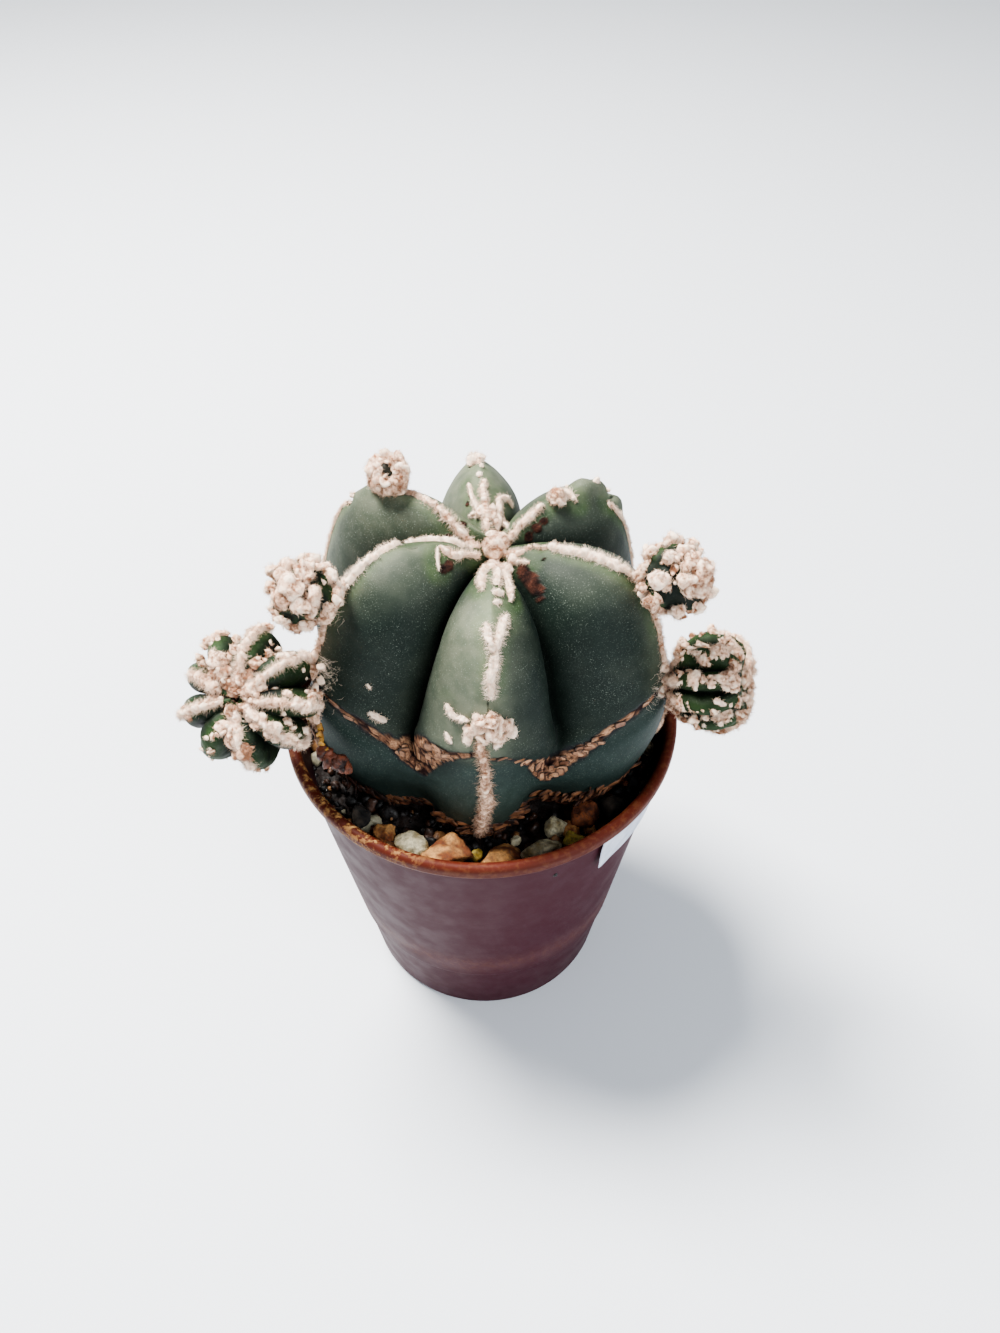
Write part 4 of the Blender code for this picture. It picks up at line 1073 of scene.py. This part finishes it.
def build_globe(globe, name, node, skin, wool, lines, table, seed):
    """A ribbed offset with clumps of wool from its table, and lines of it: (rib turn, from, to, half width)."""
    turns, places = np.meshgrid(np.arange(0, 360, 1.25), np.linspace(0.01, 1.12, 120))
    points = globe.points(turns, places)
    normals = grid_normals(points, True)
    if np.mean(np.sum(normals * (points - globe.centre), -1)) < 0:
        normals = -normals
    points = points + normals * (0.22 * fractal(points, 1.8, 3, seed))[..., None]
    gaps = np.abs((turns[..., None] - globe.turns + 180) % 360 - 180).min(-1)
    crest = 1 - smooth(gaps, 3, 17)
    # Painted shade: the skin is painted near black in the valleys between the ribs and paler towards the
    # crests.
    pale = np.clip(0.12 + 0.6 * crest + 0.3 * fractal(points, 2.0, 3, seed + 2), 0, 1)[..., None]
    tint = fade(srgb(11, 19, 13), srgb(48, 68, 38), pale)
    faces = grid_faces(*points.shape[:2], True)
    body = Soup()
    body.add(points, faces)
    bloom = np.clip(0.25 + 0.4 * noise(points, 1.0, seed + 3), 0, 1)
    finished(body.build(name, skin, tint, cork=np.zeros(points.shape[:2]), bloom=bloom), "offset_skin", node)
    host = Host(points, faces)
    lumps, soup = Soup(), Soup()
    clumps(lumps, host, globe.centre, table, seed * 101)
    rng = np.random.default_rng(seed)
    for i, (turn, start, end, width) in enumerate(lines):
        path = globe.points(np.full(30, float(turn)), np.linspace(start, end, 30))
        uneven = width * rng.uniform(0.6, 1.2, 30)
        wool_line(soup, host, path, uneven, 0.6, seed * 13 + i * 17, rng.uniform(0.4, 0.7), 1.2)
    for i in range(70):
        turn = rng.choice(globe.turns) + rng.normal() * 6
        place, _ = host.nearest(globe.points(turn, rng.uniform(0.15, 1.0))[None])
        wool_lump(lumps, place[0], rng.uniform(0.1, 0.3), seed * 29 + i * 3, rng.uniform(0.6, 1))
    finished(lumps.build(f"{name}_felt", wool), "wool")
    finished(soup.build(f"{name}_felt_lines", wool), "wool")


KNOB_SHARE = 0.84  # a knobbly offset's body, as a share of its size with its wool


def spiral_tips(count):
    """Directions spread evenly over a ball."""
    i = np.arange(count) + 0.5
    polar = np.arccos(1 - 2 * i / count)
    turn = i * math.pi * (3 - math.sqrt(5))
    return np.stack([np.sin(polar) * np.cos(turn), np.sin(polar) * np.sin(turn), np.cos(polar)], -1)


def build_knobbly(node, table, skin, wool, seed):
    """A round offset with a green bump under each larger clump of wool."""
    centre, half = middle(node)
    radius = half.mean() * KNOB_SHARE
    sphere, faces = BALLS[5]
    ball_host = Host(centre + sphere * radius, faces)
    large = [row for row in table if row[2] > 0.45]
    fronts = [seen(ball_host, centre, right, up)[0] - centre for right, up, *_ in large]
    away = unit(centre - EYE)
    spread = spiral_tips(34)
    backs = spread[spread @ away > 0.05]
    tips = np.concatenate([unit(np.array(fronts)), backs])
    near = sphere @ tips.T
    rise = radius * 0.24 * np.exp(-((1 - near.max(1)) / 0.03)) - radius * 0.12
    points = centre + sphere * (radius + rise + 0.08 * noise(sphere * radius, 0.8, seed))[:, None]
    body = Soup()
    body.add(points, faces)
    # Painted light and shade: the body is painted paler on its raised bumps and darker in the hollows between
    # them.
    pale = np.clip(0.2 + 3.0 * rise / radius + 0.5 * noise(points, 1.0, seed), 0, 1)[:, None]
    tint = fade(srgb(16, 27, 18), srgb(58, 80, 44), pale)
    zero = np.zeros(len(points))
    finished(body.build(f"{node}_body", skin, tint, cork=zero, bloom=zero + 0.1), "offset_skin", node)
    host = Host(points, faces)
    soup = Soup()
    clumps(soup, host, centre, table, seed * 103)
    hidden_clumps(soup, host, centre, backs, (0.6, 1.0), seed * 107)
    finished(soup.build(f"{node}_felt", wool), "wool")


def build_offsets(skin, wool):
    centre, _ = middle("offset_left_lower")
    ribs = (36, -6, -38, -82, -125, -167, 152, 119, 80)
    left = Globe(centre + VIEW_UP * 0.5, (-0.18, -0.64, 0.75), VIEW_RIGHT, ribs, 8.7, 5.6, 0.5)
    lines = [(turn, 0.78, 1.08, 0.6) for turn in left.turns]
    lines += [(36, 0.04, 0.7, 0.6), (-6, 0.04, 0.66, 0.55), (-38, 0.04, 0.7, 0.6), (-82, 0.04, 0.5, 0.6)]
    lines += [(-167, 0.04, 0.74, 0.5), (152, 0.06, 0.34, 0.8), (119, 0.06, 0.3, 0.6)]
    lines += [(119, 0.42, 0.7, 0.5), (80, 0.06, 0.7, 0.75)]
    build_globe(left, "offset_left_lower_body", "offset_left_lower", skin, wool, lines, LEFT_LOWER_WOOL, 41)

    centre, _ = middle("offset_right_lower")
    ribs = (22, 57, 90, 123, 158, 200, 245, 290, 335)
    right = Globe(centre, (0.9, -0.3, 0.3), VIEW_UP, ribs, 6.4, 4.8, 0.42)
    lines = [(turn, 0.1, 1.0, 0.6) for turn in right.turns[5:]]
    lines += [(turn, 0.85, 1.05, 0.6) for turn in right.turns[:5]]
    build_globe(right, "offset_right_lower_body", "offset_right_lower", skin, wool, lines, RIGHT_LOWER_WOOL, 43)

    build_knobbly("offset_left_upper", LEFT_UPPER_WOOL, skin, wool, 51)
    build_knobbly("offset_right_upper", RIGHT_UPPER_WOOL, skin, wool, 53)
    build_cup(skin, wool)
    build_bud(wool)


# Rings of wool round the cup: count, angle from its axis, size
CUP_RINGS = ((4, 28, 0.3), (7, 46, 0.62), (8, 70, 0.98), (8, 98, 1.05), (6, 128, 1.0), (3, 155, 0.8))


def build_cup(skin, wool):
    """The smallest offset: a cup of wool round a dark green tip."""
    centre, _ = middle("offset_back_left_bud")
    axis = unit(np.array((-0.02, -0.62, 0.78)))
    side = unit(np.cross(axis, VIEW_UP))
    other = np.cross(axis, side)
    sphere, faces = BALLS[4]
    body = Soup()
    shape = 1.6 * (1 + 0.1 * noise(sphere, 0.4, 60))
    body.add(centre + sphere * shape[:, None], faces)
    zero = np.zeros(len(sphere))
    tint = np.broadcast_to(srgb(30, 28, 18), (len(sphere), 3))
    core = body.build("offset_back_left_bud_body", skin, tint, cork=zero, bloom=zero + 0.2)
    finished(core, "offset_skin", "offset_back_left_bud")
    soup = Soup()
    rng = np.random.default_rng(61)
    for ring, (count, polar, size) in enumerate(CUP_RINGS):
        for i in range(count):
            turn = math.tau * (i + 0.5 * (ring % 2)) / count + rng.normal() * 0.12
            level = math.radians(polar + rng.normal() * 5)
            out = axis * math.cos(level) + (side * math.cos(turn) + other * math.sin(turn)) * math.sin(level)
            # Painted shade: lumps on the cup's underside, more than 110 degrees from its axis, get a tone 0.2
            # darker.
            tone = rng.uniform(0.28, 0.6) - 0.2 * (polar > 110)
            place = centre + out * rng.uniform(1.6, 1.95)
            wool_lump(soup, place, size * rng.uniform(0.8, 1.15, 3), 620 + ring * 40 + i, tone)
    finished(soup.build("offset_back_left_bud_felt", wool), "wool")


def build_bud(wool):
    """The woolly bud on the back right crest."""
    centre, _ = middle("areole_bud_back_right")
    soup = Soup()
    wool_lump(soup, centre - UP * 0.45, (1.0, 0.95, 0.9), 701, 0.3, VIEW_AXES, 200, 0.4, 4)
    rng = np.random.default_rng(702)
    for i in range(9):
        turn = math.tau * i / 9
        out = np.array((math.cos(turn), math.sin(turn), rng.uniform(-0.5, 0.2)))
        size, tone = rng.uniform(0.4, 0.6), rng.uniform(0.35, 0.65)
        wool_lump(soup, centre - UP * 0.75 + out * 0.7, size, 710 + i * 3, tone)
    finished(soup.build("felt_bud_back_right", wool), "offset_wool", "areole_bud_back_right")


# Tangles of loose hair: azimuth, ring, count
LOOSE_HAIRS = ((207, 7.3, 110), (206, 8.3, 80), (336, 7.6, 50), (203, 5.2, 30), (334, 8.4, 50))


def build_cobwebs(host, material):
    """Long loose hairs where the two lower offsets meet the stem."""
    rng = np.random.default_rng(801)
    soup = Soup()
    for azimuth, ring, count in LOOSE_HAIRS:
        place, _ = host.nearest(stem_points(azimuth, ring)[None])
        roots = place + rng.normal(size=(count, 3)) * (0.9, 0.9, 1.3)
        roots, out = host.nearest(roots)
        aim = out * 0.5 + unit(noise_vectors(roots, 1.2, 806)) * 0.8 + rng.normal(size=(count, 3)) * 0.4
        fibres(soup, roots, aim, rng.uniform(0.6, 2.0, count), LOOSE_HAIR, 805 + int(azimuth), 0.9)
    finished(soup.build("felt_loose_hairs", material), "wool")


# ---------------------------------------------------------------- pot, mix and stones


# The pot's radii and heights, as in the CAD
POT_MOUTH, POT_NECK, POT_FOOT, POT_WALL, POT_STEP, POT_LIP = 25.9, 26.6, 19.7, 1.0, 14.0, 1.9
DRAIN_RADIUS, DRAIN_CIRCLE, POT_HEIGHT = 1.9, 11, 54.0


def build_pot():
    """The pot, turned from a fine half section, with its drain holes cut through the floor."""
    _, half = middle("pot")
    rim, height = half[0], half[2] * 2
    mouth, neck, foot, wall, step, lip = POT_MOUTH, POT_NECK, POT_FOOT, POT_WALL, POT_STEP, POT_LIP

    def outside(z):
        return foot + (neck - foot) * z / height - 0.3 * (1 - smooth(z, step - 0.25, step + 0.25))

    low = np.linspace(0, 90, 8)
    spans = ((1.3, 13, 14), (13.4, 14.6, 9), (15, height - lip - 0.9, 40))
    levels = np.concatenate([np.linspace(*span) for span in spans])
    centre, bulge = (mouth + rim) / 2, (rim - mouth) / 2
    section = [(r, 0.0) for r in (0.01, 6, 12, 17)]
    section += [(outside(1.2) - 1.2 + 1.2 * math.sin(a), 1.2 - 1.2 * math.cos(a)) for a in np.radians(low)]
    section += [(float(outside(z)), z) for z in levels]
    under = height - lip
    section += [(neck - 0.02, under - 0.35), (neck + 0.2, under - 0.1), (rim - 0.22, under)]
    section += [(rim - 0.05, under + 0.12), (rim, under + 0.4)]
    curl = np.radians(np.linspace(0, 180, 17))
    section += [(centre + bulge * math.cos(a), height - bulge + bulge * math.sin(a)) for a in curl]
    section += [(mouth, height - bulge - 0.5), (mouth - 0.12, height - 3)]
    section += [(float(outside(z)) - wall, z) for z in np.linspace(height - 5, 1.6, 24)]
    section += [(outside(1.2) - wall - 0.4, 1.1), (17, 1.0), (12, 1.0), (6, 1.0), (0.01, 1.0)]
    section = np.array(section)
    turns = np.radians(np.arange(0, 360, 2))
    levels = np.repeat(section[:, 1:], len(turns), 1)
    points = np.stack([section[:, :1] * np.cos(turns), section[:, :1] * np.sin(turns), levels], -1)
    z, azimuth = points[..., 2], np.degrees(np.arctan2(points[..., 1], points[..., 0])) % 360
    radial = np.hypot(points[..., 0], points[..., 1])
    wobble = 0.10 * noise(points, 14, 71) * smooth(z, 2, 20)
    points[..., :2] *= (1 + wobble / np.maximum(radial, 5))[..., None]
    on_rim = smooth(z, height - lip - 0.4, height - lip + 0.3)
    crusted = smooth(azimuth, 196, 214) * (1 - smooth(azimuth, 236, 262))
    crust = on_rim * (0.06 + 0.9 * crusted * (1 - 0.6 * smooth(radial, 26.4, 27.2))) * smooth(radial, 24, 26)
    crust = crust + 0.35 * crusted * smooth(z, height - 6, height - 1.5) * (1 - on_rim)
    band = np.exp(-(((z - 18.5 - 0.8 * noise(points, 9, 73)) / 2.6) ** 2))
    outer = smooth(radial, outside(z) - 0.6, outside(z) - 0.2)
    # The wall's purple carries a painted blue cast of shade, and the rim's warmer orange brown is painted light
    # on its top; under both lies the pot's own red-brown.
    colour = fade(srgb(58, 21, 32), srgb(76, 34, 23), on_rim[..., None])
    colour = fade(colour, srgb(86, 54, 54), (0.4 * band * outer)[..., None])
    # Painted shade: the inside of the pot and the underside of its floor are painted 30% darker.
    colour = colour * (1 - 0.3 * (1 - outer) * (1 - on_rim))[..., None]
    soup = Soup()
    soup.add(points, grid_faces(*points.shape[:2], True), np.clip(crust + 0.05 * band * outer, 0, 1))
    pot = soup.build("pot_shell", pot_material(), colour)
    cutters = bpy.data.collections.new("cutters")
    bpy.context.scene.collection.children.link(cutters)
    work = bmesh.new()
    for i in range(4):
        radius, angle = DRAIN_RADIUS * MM, math.radians(45 + 90 * i)
        drill = bmesh.ops.create_cone(
            work, cap_ends=True, segments=32, radius1=radius, radius2=radius, depth=6 * MM
        )
        out = Vector((math.cos(angle), math.sin(angle), 0)) * DRAIN_CIRCLE * MM
        bmesh.ops.translate(work, verts=drill["verts"], vec=out)
    mesh = bpy.data.meshes.new("drain_cutter")
    work.to_mesh(mesh)
    cutter = bpy.data.objects.new("drain_cutter", mesh)
    cutter.hide_render = True
    cutter.display_type = "WIRE"
    cutters.objects.link(cutter)
    cut = pot.modifiers.new("drain", "BOOLEAN")
    cut.object = cutter
    cut.solver = "EXACT"
    finished(pot, "pot_plastic", "pot")


def rock(soup, tints, centre, size, turn, seed, colours, level=4, edges=13, sharp=16, rim=0.0, boxy=1.0):
    """An angular stone: a ball cut by random planes, weathered. Adds its colours to tints."""
    rng = np.random.default_rng(seed)
    sphere, faces = BALLS[level]
    planes = unit(rng.normal(size=(edges, 3)))
    depth = rng.uniform(0.72, 1.0, edges)
    facing = np.maximum(sphere @ planes.T, 0) / depth
    radius = (np.sum(facing**sharp, 1) + 1e-6) ** (-1 / sharp)
    radius = np.minimum(radius, 1.25)
    pits = np.minimum(noise(sphere, 0.3, seed + 5), 0) * 0.12 + 0.03 * noise(sphere, 0.13, seed + 6)
    shape = sphere * (radius * (1 + 0.14 * fractal(sphere, 0.6, 4, seed) + pits))[:, None]
    points = np.sign(shape) * np.abs(shape) ** boxy * size
    c, s = math.cos(turn), math.sin(turn)
    points = points @ np.array(((c, s, 0), (-s, c, 0), (0, 0, 1))) + centre
    soup.add(points, faces)
    share = np.clip(0.55 + 1.5 * fractal(points, 1.1, 4, seed + 7), 0, 1)[:, None]
    first, second = (srgb(*c) for c in colours)
    outer = np.hypot(sphere[:, 0], sphere[:, 2])[:, None]
    tints.append(fade(first, second, share) * (1 - rim * smooth(outer, 0.62, 0.9)))


STONE_COLOURS = {
    "tan": ((116, 66, 38), (196, 146, 92)), "pale": ((118, 104, 72), (204, 196, 166)),
    "brown": ((78, 40, 24), (148, 88, 54)), "dark": ((26, 24, 24), (78, 70, 62)),
    "yellow": ((126, 104, 40), (198, 178, 92)),
}
STONE_GROWTH = 1.24  # cutting a ball by planes makes it smaller than its half size
# Small stones between the named ones: x, y, radius, colour
FILLER_STONES = (
    (12.1, -17.5, 1.5, "tan"), (-0.5, -21.3, 0.9, "yellow"), (2.2, -22.3, 1.0, "brown"),
    (-17.2, -16.4, 0.9, "tan"), (-7.2, -22.9, 0.8, "pale"), (6.6, -22.5, 0.9, "tan"),
    (16.5, -12.7, 0.9, "dark"), (19.9, -9.6, 0.8, "brown"), (-12.5, -18.7, 0.8, "tan"),
    (-2.3, -23.2, 0.7, "pale"), (9.6, -20.1, 0.9, "brown"), (14.6, -17.1, 0.9, "tan"),
    (-14.5, -17.1, 0.7, "brown"), (4.6, -19.0, 0.7, "pale"),
)
# Shrivelled tissue under the lowest offset: millimetres across and up from its centre as the camera sees it
YELLOW_FOLD = ((7.4, -3.8), (7.1, -4.7), (6.8, -5.7), (7.0, -6.6), (7.6, -7.5))
SHRIVELLED = (
    (7.0, -7.9), (7.7, -7.4), (8.5, -8.0), (9.4, -8.4), (10.1, -9.0),
    (8.7, -9.4), (7.5, -9.1), (10.7, -9.9), (9.6, -10.1),
)


def build_stones(material):
    nodes = sorted(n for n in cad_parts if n.startswith("stone_"))
    for node in nodes:
        kind, number = node.split("_")[1], int(node.split("_")[2])
        centre, half = middle(node)
        turn = math.atan2(centre[1], centre[0]) + math.pi / 2
        c, s = abs(math.cos(turn)), abs(math.sin(turn))
        long, wide = (half[0], half[1]) if c > s else (half[1], half[0])
        size = np.array((long, wide, half[2])) * STONE_GROWTH
        soup, tints = Soup(), []
        rock(soup, tints, centre - UP * 0.25, size, turn, 1000 + number, STONE_COLOURS[kind])
        piece = soup.build(node.replace("stone", "pebble"), material, np.concatenate(tints))
        finished(piece, f"stone_{kind}", node)


GRIT_COLOURS = (
    ((8, 7, 8), (34, 30, 29)), ((30, 18, 12), (70, 44, 30)),
    ((84, 56, 34), (142, 104, 70)), ((120, 116, 96), (176, 170, 146)),
)


def free_annulus(rng, count, inner_gap, outer):
    """Random places on the mix between the stem's foot and the pot's wall."""
    azimuth = rng.uniform(0, 360, count)
    foot = np.linalg.norm(stem_points(azimuth, np.full(count, 13.4))[:, :2], axis=1)
    low = foot - inner_gap
    radius = np.sqrt(rng.uniform(0, 1, count) * (outer**2 - low**2) + low**2)
    return azimuth, radius


def on_mix(azimuth, radius, height):
    """The point that far from the pot's axis, at that azimuth in degrees."""
    angle = math.radians(azimuth)
    return np.array((radius * math.cos(angle), radius * math.sin(angle), height))


def build_mix(soil, grit):
    """The dark mix, crumbly on top, and the grit and small stones that lie on it."""
    centre, half = middle("potting_mix")
    top = centre[2] + half[2]
    turns = np.radians(np.arange(0, 360, 0.75))
    radii = np.linspace(9, half[0] + 0.35, 90)
    x, y = radii[:, None] * np.cos(turns), radii[:, None] * np.sin(turns)
    flat = np.stack([x, y, np.full_like(x, top)], -1)
    flat[..., 2] += -0.5 + 0.75 * fractal(flat, 2.4, 3, 81) + 0.28 * noise(flat, 0.55, 84)
    skirt = flat[-1:].copy()
    skirt[..., 2] -= 4
    flat = np.concatenate([flat, skirt])
    shade = np.clip(0.4 + 0.6 * fractal(flat, 1.1, 3, 86), 0, 1)[..., None]
    soup = Soup()
    soup.add(flat, grid_faces(*flat.shape[:2], True))
    # The mix is painted near black: its own dark brown, darkened further as painted shade.
    colours = fade(srgb(12, 8, 7), srgb(44, 28, 21), shade)
    finished(soup.build("mix_surface", soil, colours), "potting_mix", "potting_mix")

    rng = np.random.default_rng(87)
    soup, tints = Soup(), []
    azimuth, radius = free_annulus(rng, 760, 1.5, 25.2)
    for i in range(len(azimuth)):
        kind = rng.choice(4, p=(0.66, 0.24, 0.07, 0.03))
        size = rng.uniform(0.22, 0.62) * (1.35 if rng.random() < 0.12 else 1.0)
        place = on_mix(azimuth[i], radius[i], top + rng.uniform(-0.45, 0.35))
        size, turn = size * rng.uniform(0.7, 1.2, 3), rng.uniform(0, 3)
        rock(soup, tints, place, size, turn, 2000 + i, GRIT_COLOURS[kind], 2, 9, 10)
    azimuth, radius = free_annulus(rng, 80, 0.5, 24.3)
    for i in range(len(azimuth)):
        kind = rng.choice(4, p=(0.45, 0.3, 0.17, 0.08))
        size = rng.uniform(0.8, 1.35)
        place = on_mix(azimuth[i], radius[i], top + size * 0.15)
        size, turn = size * rng.uniform(0.7, 1.2, 3), rng.uniform(0, 3)
        rock(soup, tints, place, size, turn, 4000 + i, GRIT_COLOURS[kind], 3, 11, 14)
    for i, (x, y, radius, kind) in enumerate(FILLER_STONES):
        place, size = np.array((x, y, top + radius * 0.35)), radius * rng.uniform(0.8, 1.15, 3)
        rock(soup, tints, place, size, rng.uniform(0, 3), 4500 + i, STONE_COLOURS[kind], 4)
    finished(soup.build("mix_grit", grit, np.concatenate(tints)), "potting_mix")


def build_dead_tissue(host, material):
    """Peeling brown skin round the stem's foot, and shrivelled folds beside the lowest offset."""
    soup, tints = Soup(), []
    rng = np.random.default_rng(91)
    brown, dark = ((62, 36, 26), (146, 100, 70)), ((26, 15, 12), (92, 54, 38))
    yellow = ((104, 68, 24), (190, 142, 66))

    def scraps(azimuth, ring, count, spread, size, colours, seed, lift=0.05):
        for i in range(count):
            turned = azimuth + rng.normal() * spread
            place, normal = host.nearest(stem_points(turned, ring + rng.normal() * 0.2)[None])
            half = np.array((rng.uniform(*size), 0.12, rng.uniform(0.2, 0.5)))
            turn = math.radians(turned + 90) + rng.normal() * 0.25
            rock(soup, tints, place[0] + normal[0] * lift, half, turn, seed + i, colours, 3, 8, 12, 0.5, 0.6)

    for azimuth in np.arange(0, 360, 5.0):
        scraps(azimuth, 13.1, 3, 3.0, (0.5, 1.5), brown if azimuth % 3 else dark, 5000 + int(azimuth) * 10)
    scraps(268, 13.8, 22, 5.0, (0.5, 1.1), brown, 9000, 0.3)
    scraps(306, 12.7, 44, 14.0, (0.6, 1.5), brown, 9400, 0.1)
    scraps(207, 11.8, 26, 4.0, (0.6, 1.2), brown, 9100, 0.6)
    scraps(214, 12.8, 22, 5.0, (0.6, 1.4), dark, 9300, 0.5)
    scraps(201, 10.6, 12, 1.5, (0.5, 0.9), yellow, 9200, 0.8)
    centre, _ = middle("offset_left_lower")
    red = ((36, 17, 13), (112, 62, 42))
    for i, (right, up) in enumerate(YELLOW_FOLD + SHRIVELLED):
        ochre = i < len(YELLOW_FOLD)
        place, normal = seen(host, centre, right, up)
        size = (0.45, 0.4, 0.75) if ochre else rng.uniform(0.5, 0.95, 3)
        colours = yellow if ochre else red
        rock(soup, tints, place + normal * 0.2, size, rng.normal() * 0.3, 9700 + i, colours, 4, 7, 5)
    finished(soup.build("stem_dead_tissue", material, np.concatenate(tints)), "stem_skin")


def build_cork_plates(host, material):
    """Raised plates of bark along the seam, longer and upright in its two front triangles."""
    soup, tints = Soup(), []
    rng = np.random.default_rng(95)
    azimuth = SEAM[:, 0]
    for i in range(170):
        at = rng.uniform(203, 338) if i < 130 else rng.uniform(338, 560)
        upper, lower = np.interp(at, azimuth, SEAM[:, 1]), np.interp(at, azimuth, SEAM[:, 2])
        wide = lower - upper
        if rng.random() < (0.9 if wide < 0.45 else 0.0):
            continue
        ring = upper + wide * rng.uniform(0.05, 0.95)
        place, normal = host.nearest(stem_points(at, ring)[None])
        upright = min(wide / 1.2, 1)
        wide_half, tall_half = rng.uniform(0.4, 0.85), rng.uniform(0.14, 0.26)
        half = np.array((wide_half * (1.4 - 0.6 * upright), 0.07, tall_half * (1 + 2.4 * upright)))
        turn = math.atan2(normal[0][1], normal[0][0]) + math.pi / 2
        warm = rng.random()
        colours = ((92 + 30 * warm, 58 + 22 * warm, 44), (164 + 34 * warm, 120 + 32 * warm, 92 + 26 * warm))
        turn = turn + rng.normal() * 0.12
        rock(soup, tints, place[0] + normal[0] * 0.04, half, turn, 9500 + i, colours, 3, 7, 30, 0.85, 0.55)
    finished(soup.build("stem_cork_plates", material, np.concatenate(tints)), "stem_skin")


LABEL_TURNS = (-53, -24)  # azimuths of its two ends


def build_label():
    """A blank sticker, bent round the wall, with one corner starting to lift."""
    centre, half = middle("price_sticker")
    bottom, top = centre[2] - half[2], centre[2] + half[2]
    azimuth, level = np.meshgrid(np.radians(np.linspace(*LABEL_TURNS, 40)), np.linspace(0, 1, 18))
    height = bottom + (top - bottom) * level
    wall = fade(POT_FOOT, POT_NECK, height / POT_HEIGHT)
    aside = np.degrees(azimuth) - LABEL_TURNS[0]
    lifted = 0.35 * np.exp(-((aside / 4) ** 2) - (level / 0.35) ** 2)
    radius = wall + 0.42 + lifted
    front = np.stack([radius * np.cos(azimuth), radius * np.sin(azimuth), height], -1)
    soup = Soup()
    soup.add(front, grid_faces(*front.shape[:2], False))
    g = Graph("sticker_paper", 0.6)
    # Painted shade: the white sticker is painted bluish grey, as it looks in shade.
    g.colour(g.mix(g.between(g.noise(2.0, 4), 0.3, 0.7), srgb(168, 174, 190), srgb(194, 199, 211)))
    g.bump((g.noise(0.3, 3), 0.01))
    label = soup.build("blank_sticker", g.material)
    thick = label.modifiers.new("paper", "SOLIDIFY")
    thick.thickness = 0.12 * MM
    finished(label, "sticker_paper", "price_sticker")


# ---------------------------------------------------------------- stage


# name, place, target, size in metres, power in watts, colour
LIGHTS = (
    ("key", (-0.26, 0.16, 0.62), (0, 0, 0.06), 0.26, 17.0, (1.0, 0.97, 0.93)),
    ("fill", (0.35, -0.45, 0.45), (0, 0, 0.05), 0.5, 4.6, (0.94, 0.97, 1.0)),
)
FLOOR_COLOUR, SKY_COLOUR, SKY_STRENGTH = (0.66, 0.69, 0.73, 1), (0.86, 0.92, 1.0, 1), 0.42


def area_light(name, place, target, size, power, colour):
    data = bpy.data.lights.new(name, "AREA")
    data.shape, data.size, data.energy, data.color = "DISK", size, power, colour
    lamp = bpy.data.objects.new(name, data)
    lamp.location = place
    lamp.rotation_mode = "QUATERNION"
    lamp.rotation_quaternion = (Vector(target) - Vector(place)).to_track_quat("-Z", "Y")
    bpy.context.scene.collection.objects.link(lamp)


def build_stage():
    mesh = bpy.data.meshes.new("floor")
    mesh.from_pydata([(-3, -3, 0), (3, -3, 0), (3, 3, 0), (-3, 3, 0)], [], [(0, 1, 2, 3)])
    g = Graph("floor_paper", 0.8)
    g.shader.inputs["Base Color"].default_value = FLOOR_COLOUR
    mesh.materials.append(g.material)
    floor = bpy.data.objects.new("floor", mesh)
    bpy.context.scene.collection.objects.link(floor)
    for light in LIGHTS:
        area_light(*light)
    world = bpy.data.worlds.new("studio")
    world.use_nodes = True
    world.node_tree.nodes["Background"].inputs[0].default_value = SKY_COLOUR
    world.node_tree.nodes["Background"].inputs[1].default_value = SKY_STRENGTH
    bpy.context.scene.world = world
    data = bpy.data.cameras.new("camera")
    data.lens, data.sensor_width, data.clip_start = CAMERA_LENS, 36.0, 0.005
    camera = bpy.data.objects.new("camera", data)
    camera.location = CAMERA_PLACE
    camera.rotation_euler = (math.pi / 2 - CAMERA_PITCH, 0, 0)
    bpy.context.scene.collection.objects.link(camera)
    bpy.context.scene.camera = camera
    bpy.context.scene.view_settings.look = "AgX - Medium High Contrast"


def main():
    paths = wool_paths()
    host = build_stem(np.concatenate([path for _, path, *_ in paths]))
    wool = wool_material()
    build_stem_wool(host, wool, paths)
    build_crown_tuft(wool)
    build_offsets(bpy.data.materials["skin"], wool)
    build_cobwebs(host, wool)
    build_pot()
    soil = tinted_material("soil", 0.9, 0.55, 0.95, 0.5, 0.12)
    grit = tinted_material("grit", 0.5, 0.25, 0.8, 0.3, 0.05)
    stone = tinted_material("stone", 0.8, 0.65, 0.95, 0.4, 0.16, 0.5)
    tissue = tinted_material("dead_tissue", 0.6, 0.4, 0.8, 0.4, 0.1)
    build_mix(soil, grit)
    build_stones(stone)
    build_dead_tissue(host, tissue)
    build_cork_plates(host, tissue)
    build_label()
    build_stage()


main()
